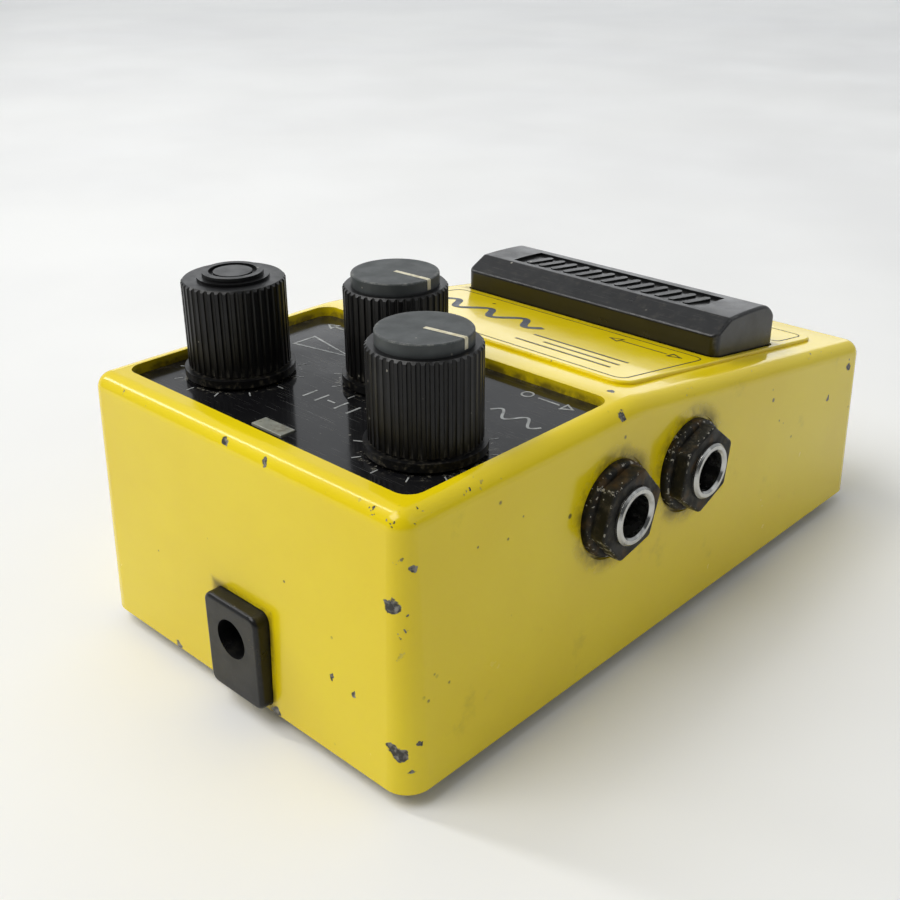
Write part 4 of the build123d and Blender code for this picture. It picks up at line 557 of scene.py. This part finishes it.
def insulation(name, base):
    """Wire insulation: soft PVC with faint draw marks and grey handling dirt."""
    p = Paint(name, IOR=1.5)
    colour = p.mottled(times(base, 0.8), times(base, 1.2), 4, 3)
    colour = p.mix(p.both(p.step(p.noise(1.5, 4, 0.6, seed=3), 0.55, 0.75), 0.3), colour, tone(110, 104, 92))
    roughness = p.step(p.noise(2, 3), 0.3, 0.7, 0.32, 0.5)
    return p.finish(colour, roughness, p.bump(p.noise(0.3, 2, stretch=(1, 6, 1)), 0.01))


def ribbon_grey():
    """Flat cable: grooves between its conductors, bumped and painted darker as shade, one edge marked red.
    """
    p = Paint("ribbon_grey", IOR=1.5)
    low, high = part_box("switch_cable")
    pitch = (high.x - low.x) / 4
    phase = p.sum("FRACT", p.sum("DIVIDE", p.sum("SUBTRACT", p.x, low.x), pitch))
    ridge = p.step(p.sum("ABSOLUTE", p.sum("SUBTRACT", phase, 0.5)), 0.5, 0.36)
    colour = p.mottled(tone(150, 150, 148), tone(176, 176, 172), 3, 3)
    # painted shade: the grooves between conductors darkened
    colour = p.mix(p.both(p.inverse(ridge), 0.5), colour, tone(96, 96, 94))
    colour = p.mix(p.step(p.x, low.x + 0.9 * pitch, low.x + 0.7 * pitch), colour, tone(150, 40, 34))
    return p.finish(colour, p.step(p.noise(2, 2), 0.3, 0.7, 0.35, 0.5), p.bump(ridge, 0.12))


def can_blue():
    """Capacitor cans: blue sleeve, bare aluminium top, a pale stripe down one side."""
    p = Paint("can_blue", IOR=1.5)
    top = p.step(p.nz, 0.85, 0.95)
    colour = p.mottled(tone(22, 52, 112), tone(34, 70, 140), 3, 3)
    stripe = p.both(p.step(p.nx, 0.86, 0.93), p.inverse(top))
    colour = p.mix(p.both(stripe, 0.9), colour, tone(176, 190, 206))
    colour = p.mix(top, colour, p.mix(p.noise(1.0, 3), tone(150, 152, 154), tone(196, 198, 200)))
    return p.finish(colour, p.step(p.noise(2, 3), 0.3, 0.7, 0.28, 0.42), p.bump(p.noise(0.6, 2), 0.01), top)


def resistor_beige():
    """Film resistors: beige lacquer with rings of colour that change from one to the next."""
    p = Paint("resistor_beige", IOR=1.5)
    colour = p.mottled(tone(186, 158, 110), tone(208, 182, 134), 2, 3)
    bands = (tone(110, 44, 28), tone(30, 30, 30), tone(196, 96, 24), tone(160, 128, 40))
    for number, band in enumerate(bands):
        phase = p.sum("FRACT", p.sum("ADD", p.sum("DIVIDE", p.x, 5.2 * MM), 0.21 * number))
        ring = p.step(p.sum("ABSOLUTE", p.sum("SUBTRACT", phase, 0.5)), 0.075, 0.055)
        colour = p.mix(p.both(ring, 0.85), colour, band)
    return p.finish(colour, p.step(p.noise(1.5, 2), 0.3, 0.7, 0.25, 0.4), p.bump(p.noise(0.8, 2), 0.02))


def battery_case():
    """Printed steel jacket: dark sleeve with a copper-coloured end, scuffed at its corners."""
    p = Paint("battery_case")
    low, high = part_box("battery")
    split = low.x + 0.72 * (high.x - low.x)
    banded = p.step(p.x, split - 0.15 * MM, split + 0.15 * MM)
    dark = p.mottled(tone(26, 27, 30), tone(40, 42, 46), 8, 3)
    colour = p.mix(banded, dark, tone(170, 104, 54))
    scuff = p.both(p.edges(0.95, 0.8), p.step(p.noise(1.4, 3), 0.48, 0.6), 0.8)
    colour = p.mix(scuff, colour, tone(170, 170, 168))
    roughness = p.step(p.noise(4, 4, 0.6), 0.25, 0.75, 0.26, 0.42)
    bare = p.step(p.most(banded, scuff), 0, 1, 0.3, 0.9)
    return p.finish(colour, roughness, p.bump(p.noise(5, 1), 0.03), bare)


def foam_grey():
    """Open-cell foam: a mid grey body whose sunk pores are painted dark as shade."""
    p = Paint("foam_grey", Sheen_Weight=0.2)
    cells = p.node("ShaderNodeTexVoronoi")
    p.feed(cells.inputs["Vector"], p.place)
    cells.inputs["Scale"].default_value = 1 / (0.7 * MM)
    pores = p.step(cells.outputs["Distance"], 0.15, 0.45)
    colour = p.mottled(tone(84, 84, 86), tone(110, 110, 112), 5, 3)
    # painted shade: the pores darkened where the bump sinks them
    colour = p.mix(p.inverse(pores), colour, tone(38, 38, 40))
    return p.finish(colour, p.step(p.noise(3), 0.3, 0.7, 0.85, 0.95), p.bump(pores, 0.25))


def foot_rubber():
    """Moulded rubber: matt, with dust picked up from floors."""
    p = Paint("foot_rubber", IOR=1.45, Sheen_Weight=0.15)
    base = tone(30, 30, 30)
    colour = p.mottled(times(base, 0.8), times(base, 1.4), 3, 4, 0.6)
    dust = p.both(p.step(p.noise(1.2, 5, 0.7, seed=3), 0.45, 0.75), 0.5)
    colour = p.mix(dust, colour, tone(120, 114, 100))
    return p.finish(colour, p.step(p.noise(2), 0.3, 0.7, 0.7, 0.9), p.bump(p.noise(0.35, 3, 0.6), 0.03))


# ------------------------------------------------------------------ which node wears what

wear("housing", casing_paint())
wear("panel_plate", panel_gloss())
wear("treadle", treadle_plastic())
wear("led", lamp_lens())
wear("jack_nuts", nut_plastic())
wear("rubber_feet", foot_rubber())
for side, axis in KNOB_AXES.items():
    wear(f"knob_{side}", knob_plastic(side, axis))
    wear(f"pot_shaft_{side}", turned(f"shaft_metal_{side}", tone(196, 196, 194), axis, "xy"))
cream = pointer_cream()
for side in ("left", "middle"):
    wear(f"knob_cap_{side}", cap_plastic(side))
    wear(f"pointer_{side}", cream)
for side, axis in JACK_AXES.items():
    chrome = turned(f"sleeve_chrome_{side}", tone(186, 186, 183), axis, "yz", 0.16, 0.2, JACK_BORE_R)
    wear(f"jack_sleeve_{side}", chrome)

SHARED = (
    (metal("plate_steel", tone(160, 162, 164), 0.34, (14, 1, 1), 0.35), ("base_plate",)),
    (metal("screw_steel", tone(176, 176, 178), 0.3), ("base_screws", "switch_board_screws")),
    (
        metal("pot_metal", tone(186, 186, 182), 0.3, (1, 1, 6)),
        ("pot_body_left", "pot_body_middle", "pot_body_right"),
    ),
    (metal("nut_metal", tone(194, 192, 186), 0.26, dull=0.35), ("pot_nuts", "pot_washers")),
    (
        metal("contact_metal", tone(206, 198, 172), 0.25, (1, 1, 5), 0.4),
        (
            "pot_terminals",
            "led_leads",
            "header_pins",
            "dc_jack_contact",
            "jack_contact_rear",
            "jack_contact_front",
            "jack_contact_input",
        ),
    ),
    (metal("pin_metal", tone(166, 158, 140), 0.32, (1, 6, 1), 0.45), ("dc_jack_pin",)),
    (
        metal("spring_steel", tone(168, 168, 170), stretch=(3, 3, 1)),
        ("treadle_spring_left", "treadle_spring_right"),
    ),
    (metal("battery_stud", tone(204, 200, 188), 0.24, dull=0.4), ("battery_terminals",)),
    (
        moulding("jack_plastic", tone(32, 32, 33), 0.42),
        ("jack_body_rear", "jack_body_front", "jack_body_input"),
    ),
    (moulding("socket_plastic", tone(13, 13, 14), 0.34, 0.3, 0.5, 0.1, 0.05), ("dc_jack_body",)),
    (moulding("switch_plastic", tone(34, 34, 35), 0.45), ("switch_body",)),
    (moulding("plunger_plastic", tone(206, 202, 190), 0.4, 0.3, 0.0, 0.15), ("switch_plunger",)),
    (moulding("header_plastic", tone(28, 28, 29), 0.5), ("board_header",)),
    (moulding("chip_plastic", tone(34, 34, 36), 0.5, 0.18), ("ic_chips",)),
    (moulding("snap_plastic", tone(28, 28, 28), 0.45), ("battery_snap",)),
    (insulation("wire_red", tone(172, 28, 22)), ("dc_wire_red", "battery_lead_red")),
    (insulation("wire_black", tone(26, 26, 27)), ("dc_wire_black", "battery_lead_black")),
    (board_green("board_green"), ("main_board", "control_board", "switch_board")),
    (ribbon_grey(), ("switch_cable",)),
    (can_blue(), ("electrolytic_capacitors",)),
    (resistor_beige(), ("resistors",)),
    (battery_case(), ("battery",)),
    (foam_grey(), ("battery_foam",)),
)
for material, names in SHARED:
    for name in names:
        wear(name, material)

# ------------------------------------------------------------------ printed marks


WELL_ABOVE = 0.2  # metres: higher than anything on the object


def surface_of(node):
    """Finds the top surface of a CAD node under a point given in x and y."""
    mesh = NODES[node].data
    tree = BVHTree.FromPolygons([v.co for v in mesh.vertices], [p.vertices for p in mesh.polygons])

    def height(x, y):
        place, *_ = tree.ray_cast(Vector((x, y, WELL_ABOVE)), Vector((0, 0, -1)))
        return place.z

    return height


class Print:
    """Thin ink laid on a CAD surface. Points are in millimetres in the part's frame."""

    SINK = 0.01  # how far the ink starts below the surface
    INK = 0.035  # how far it stands above

    def __init__(self, name, node):
        self.name = name
        self.height = surface_of(node)
        self.mesh = bmesh.new()

    def corner(self, x, y):
        return self.mesh.verts.new((x * MM, y * MM, self.height(x * MM, y * MM) - self.SINK * MM))

    def line(self, points, width, closed=False):
        """A stroke along the points, mitred at its corners."""
        count = len(points)
        rails = []
        for number, (x, y) in enumerate(points):
            before = points[number - 1] if closed or number else None
            after = points[(number + 1) % count] if closed or number < count - 1 else None
            ways = []
            if before:
                ways.append(Vector((x - before[0], y - before[1])).normalized())
            if after:
                ways.append(Vector((after[0] - x, after[1] - y)).normalized())
            way = sum(ways, Vector((0, 0))).normalized()
            across = Vector((-way.y, way.x))
            spread = width / 2 / max(0.5, way.dot(ways[0]))
            rails.append(
                (
                    self.corner(x + across.x * spread, y + across.y * spread),
                    self.corner(x - across.x * spread, y - across.y * spread),
                )
            )
        for number in range(count if closed else count - 1):
            (a, b), (c, d) = rails[number], rails[(number + 1) % count]
            self.mesh.faces.new((a, b, d, c))

    def finish(self, material, body):
        bottom = list(self.mesh.faces)
        grown = bmesh.ops.extrude_face_region(self.mesh, geom=bottom)["geom"]
        tops = [v for v in grown if isinstance(v, bmesh.types.BMVert)]
        bmesh.ops.translate(self.mesh, verts=tops, vec=(0, 0, (self.INK + self.SINK) * MM))
        bmesh.ops.recalc_face_normals(self.mesh, faces=self.mesh.faces)
        data = bpy.data.meshes.new(self.name)
        self.mesh.to_mesh(data)
        self.mesh.free()
        made = bpy.data.objects.new(self.name, data)
        bpy.context.scene.collection.objects.link(made)
        data.materials.append(material)
        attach(made, body)


def ink(name, base, faded, worn=0.35):
    """Screen-printed ink: uneven, faded and nibbled away in places."""
    p = Paint(name, IOR=1.45)
    colour = p.mix(p.step(p.noise(1.6, 4, 0.65), 0.35, 0.7), base, faded)
    colour = p.mix(p.both(p.step(p.noise(0.7, 3, 0.6, seed=4), 0.55, 0.7), worn), colour, times(faded, 0.6))
    return p.finish(colour, p.step(p.noise(1.0, 3), 0.3, 0.7, 0.35, 0.5), p.bump(p.noise(0.4, 2), 0.004))


def wave(x, y, length, height, turns, steps=36):
    """Points of a sine wave that starts at x, y."""
    points = []
    for number in range(steps + 1):
        share = number / steps
        points.append((x + length * share, y + height * math.sin(math.tau * turns * share)))
    return points


def arc(x, y, radius, start, end, steps=10):
    """Points of an arc, angles in degrees from +X."""
    points = []
    for number in range(steps + 1):
        angle = math.radians(start + (end - start) * number / steps)
        points.append((x + radius * math.cos(angle), y + radius * math.sin(angle)))
    return points


def rounded(left, front, right, rear, radius):
    """Points of a rectangle with round corners."""
    corners = ((right, rear, 0), (left, rear, 90), (left, front, 180), (right, front, 270))
    points = []
    for x, y, start in corners:
        inward_x = radius if x == left else -radius
        inward_y = radius if y == front else -radius
        points += arc(x + inward_x, y + inward_y, radius, start, start + 90, 5)
    return points


# strokes' widths, in millimetres
TICK, OUTLINE, ARROW, BEAT, SIGN, RULE, BOLD = 0.2, 0.22, 0.3, 0.36, 0.42, 0.5, 1.3

TICKS = 11
DIAL_START, DIAL_SWEEP = 240.0, 300.0  # degrees
TICK_NEAR, TICK_FAR = 0.45, 1.75  # millimetres beyond the knob's collar


def dial_ticks(axis):
    """Strokes for the ticks round one knob."""
    x, y, reach = axis.x / MM, axis.y / MM, COLLAR_R / MM
    near, far = reach + TICK_NEAR, reach + TICK_FAR
    strokes = []
    for number in range(TICKS):
        angle = math.radians(DIAL_START - DIAL_SWEEP * number / (TICKS - 1))
        way = (math.cos(angle), math.sin(angle))
        ends = [(x + way[0] * near, y + way[1] * near), (x + way[0] * far, y + way[1] * far)]
        strokes.append((ends, TICK, False))
    return strokes


# Signs in place of words. A stroke is its points, its width and whether it closes.
PANEL_SIGNS = (
    # a wave
    (wave(-27.2, 25.4, 9.4, 1.25, 2), SIGN, False),
    # beats, with a bar between the first two
    *(([(x, 37.7), (x, 40.5)], BEAT, False) for x in (-3.8, -1.2, 3.0, 5.6)),
    ([(0.1, 39.1), (1.7, 39.1)], ARROW, False),
    # a growing wedge
    ([(12.2, 25.2), (23.4, 27.4), (23.4, 23.0)], SIGN, True),
    # an arrow to the left from a ring, and an arrow to the right
    ([(-26.6, 17.6), (-25.0, 18.5), (-25.0, 16.7)], ARROW, True),
    ([(-24.2, 17.6), (-20.2, 17.6)], ARROW, False),
    (arc(-18.2, 17.6, 0.9, 0, 345, 14), ARROW, True),
    ([(20.2, 17.6), (24.2, 17.6)], ARROW, False),
    ([(24.4, 18.5), (26.0, 17.6), (24.4, 16.7)], ARROW, True),
)

# the pad's printed outline, in two parts with the foot bar between them
FRAME_X = 26.9
FRAME_MARGIN = 1.7  # from the pad's ends
FRAME_BREAK = (-40.8, -16.6)  # where it stops for the foot bar
FRAME_CORNER_R = 1.6
PAD_FRAME = (
    (rounded(-FRAME_X, FRAME_BREAK[1], FRAME_X, PAD_REAR - FRAME_MARGIN, FRAME_CORNER_R), OUTLINE, True),
    (rounded(-FRAME_X, PAD_FRONT + FRAME_MARGIN, FRAME_X, FRAME_BREAK[0], FRAME_CORNER_R), OUTLINE, True),
)

PAD_WAVE = ((wave(-1.0, -7.0, 24.0, 2.3, 3, steps=72), BOLD, False),)
PAD_LINES = (
    # ruled lines
    ([(-22.0, 2.6), (-3.0, 2.6)], RULE, False),
    ([(-22.0, 0.2), (-7.0, 0.2)], RULE, False),
    ([(-22.0, -2.2), (-3.0, -2.2)], RULE, False),
    # a double arrow
    ([(-24.6, -13.2), (-22.6, -12.2), (-22.6, -14.2)], ARROW, True),
    ([(-22.0, -13.2), (-13.0, -13.2)], ARROW, False),
    ([(-10.6, -13.2), (-12.6, -12.2), (-12.6, -14.2)], ARROW, True),
)


def draw(name, node, material, strokes):
    """One piece of ink on a node."""
    drawing = Print(name, node)
    for points, width, closed in strokes:
        drawing.line(points, width, closed)
    drawing.finish(material, "root")


white = ink("panel_ink", tone(176, 178, 176), tone(128, 130, 128))
for side, axis in KNOB_AXES.items():
    draw(f"dial_marks_{side}", "panel_plate", white, dial_ticks(axis))
draw("panel_signs", "panel_plate", white, PANEL_SIGNS)
black = ink("pad_ink", tone(40, 38, 30), tone(74, 66, 34), 0.5)
navy = ink("pad_ink_bold", tone(38, 48, 62), tone(54, 64, 76), 0.3)
draw("pad_outline", "housing", black, PAD_FRAME)
draw("pad_wave", "housing", navy, PAD_WAVE)
draw("pad_lines", "housing", black, PAD_LINES)

# ------------------------------------------------------------------ stage, light and camera


def floor_finish():
    """Pale matt floor with the faintest drift in its tone."""
    p = Paint("floor", Specular_IOR_Level=0.15)
    colour = p.mottled(tone(240, 240, 239), tone(246, 246, 244), 180, 4, 0.55)
    return p.finish(colour, p.step(p.noise(60, 4, 0.6), 0.3, 0.7, 0.42, 0.58), p.bump(p.noise(4, 2), 0.01))


# each lamp's name, place, target and size in metres, power in watts and colour
LAMPS = (
    ("key", (0.25, 0.65, 0.95), (0, 0, 0.02), (0.7, 0.7), 7.4, (1.0, 0.985, 0.96)),
    ("strip", (0.75, 0.28, 0.88), (0, 0.03, 0.04), (0.1, 1.0), 3.4, (1.0, 1.0, 1.0)),
    ("fill", (-0.9, -0.3, 0.7), (0, 0, 0.02), (0.8, 0.8), 1.1, (0.96, 0.98, 1.0)),
    ("wall", (1.0, -1.2, 0.36), (0, 0, 0.04), (1.6, 0.45), 2.6, (0.97, 0.985, 1.0)),
)


def make_floor(reach=15.0):
    data = bpy.data.meshes.new("floor")
    corners = [(-reach, -reach), (reach, -reach), (reach, reach), (-reach, reach)]
    data.from_pydata([(x, y, FLOOR_Z) for x, y in corners], [], [(0, 1, 2, 3)])
    data.materials.append(floor_finish())
    floor = bpy.data.objects.new("floor", data)
    bpy.context.scene.collection.objects.link(floor)


def softbox(name, place, target, size, power, colour):
    """A rectangular lamp that the camera itself does not see."""
    data = bpy.data.lights.new(name, "AREA")
    data.shape = "RECTANGLE"
    data.size, data.size_y = size
    data.energy = power
    data.color = colour
    lamp = bpy.data.objects.new(name, data)
    lamp.location = place
    lamp.rotation_euler = (Vector(target) - Vector(place)).to_track_quat("-Z", "Y").to_euler()
    lamp.visible_camera = False
    bpy.context.scene.collection.objects.link(lamp)


def make_world(bright, dim, toward):
    """A plain studio whose light comes mostly from one way, as in a room with one pale wall."""
    world = bpy.data.worlds.new("studio")
    world.use_nodes = True
    nodes, links = world.node_tree.nodes, world.node_tree.links
    way = nodes.new("ShaderNodeTexCoord")
    facing = nodes.new("ShaderNodeVectorMath")
    facing.operation = "DOT_PRODUCT"
    links.new(way.outputs["Generated"], facing.inputs[0])
    facing.inputs[1].default_value = Vector(toward).normalized()
    share = nodes.new("ShaderNodeMapRange")
    share.interpolation_type = "SMOOTHSTEP"
    share.inputs["From Min"].default_value = -0.3
    share.inputs["From Max"].default_value = 0.7
    links.new(facing.outputs["Value"], share.inputs["Value"])
    colour = nodes.new("ShaderNodeMix")
    colour.data_type = "RGBA"
    links.new(share.outputs[0], colour.inputs[0])
    colour.inputs[6].default_value = dim
    colour.inputs[7].default_value = bright
    links.new(colour.outputs[2], nodes["Background"].inputs["Color"])
    bpy.context.scene.world = world


def make_camera(place, azimuth, elevation, roll, lens):
    """A camera at the photograph's angle: its place in millimetres, angles in degrees."""
    a, e, r = (math.radians(v) for v in (azimuth, elevation, roll))
    back = Vector((math.sin(a) * math.cos(e), -math.cos(a) * math.cos(e), math.sin(e)))
    right = Vector((0, 0, 1)).cross(back).normalized()
    up = back.cross(right)
    turned_right = right * math.cos(r) + up * math.sin(r)
    turned_up = up * math.cos(r) - right * math.sin(r)
    data = bpy.data.cameras.new("camera")
    data.lens, data.sensor_width = lens, 36.0
    data.clip_start, data.clip_end = 0.01, 20
    camera = bpy.data.objects.new("camera", data)
    turn = Matrix((turned_right, turned_up, back)).transposed()
    camera.matrix_world = Matrix.Translation(Vector(place) * MM) @ turn.to_4x4()
    bpy.context.scene.collection.objects.link(camera)
    bpy.context.scene.camera = camera


make_floor()
make_world(bright=(0.56, 0.575, 0.59, 1.0), dim=(0.10, 0.103, 0.106, 1.0), toward=(0.62, -0.65, 0.5))
for lamp in LAMPS:
    softbox(*lamp)
make_camera(place=(-118.58, 139.78, 109.28), azimuth=-136.436, elevation=25.855, roll=-0.242, lens=46.58)
bpy.context.scene.view_settings.view_transform = "Standard"
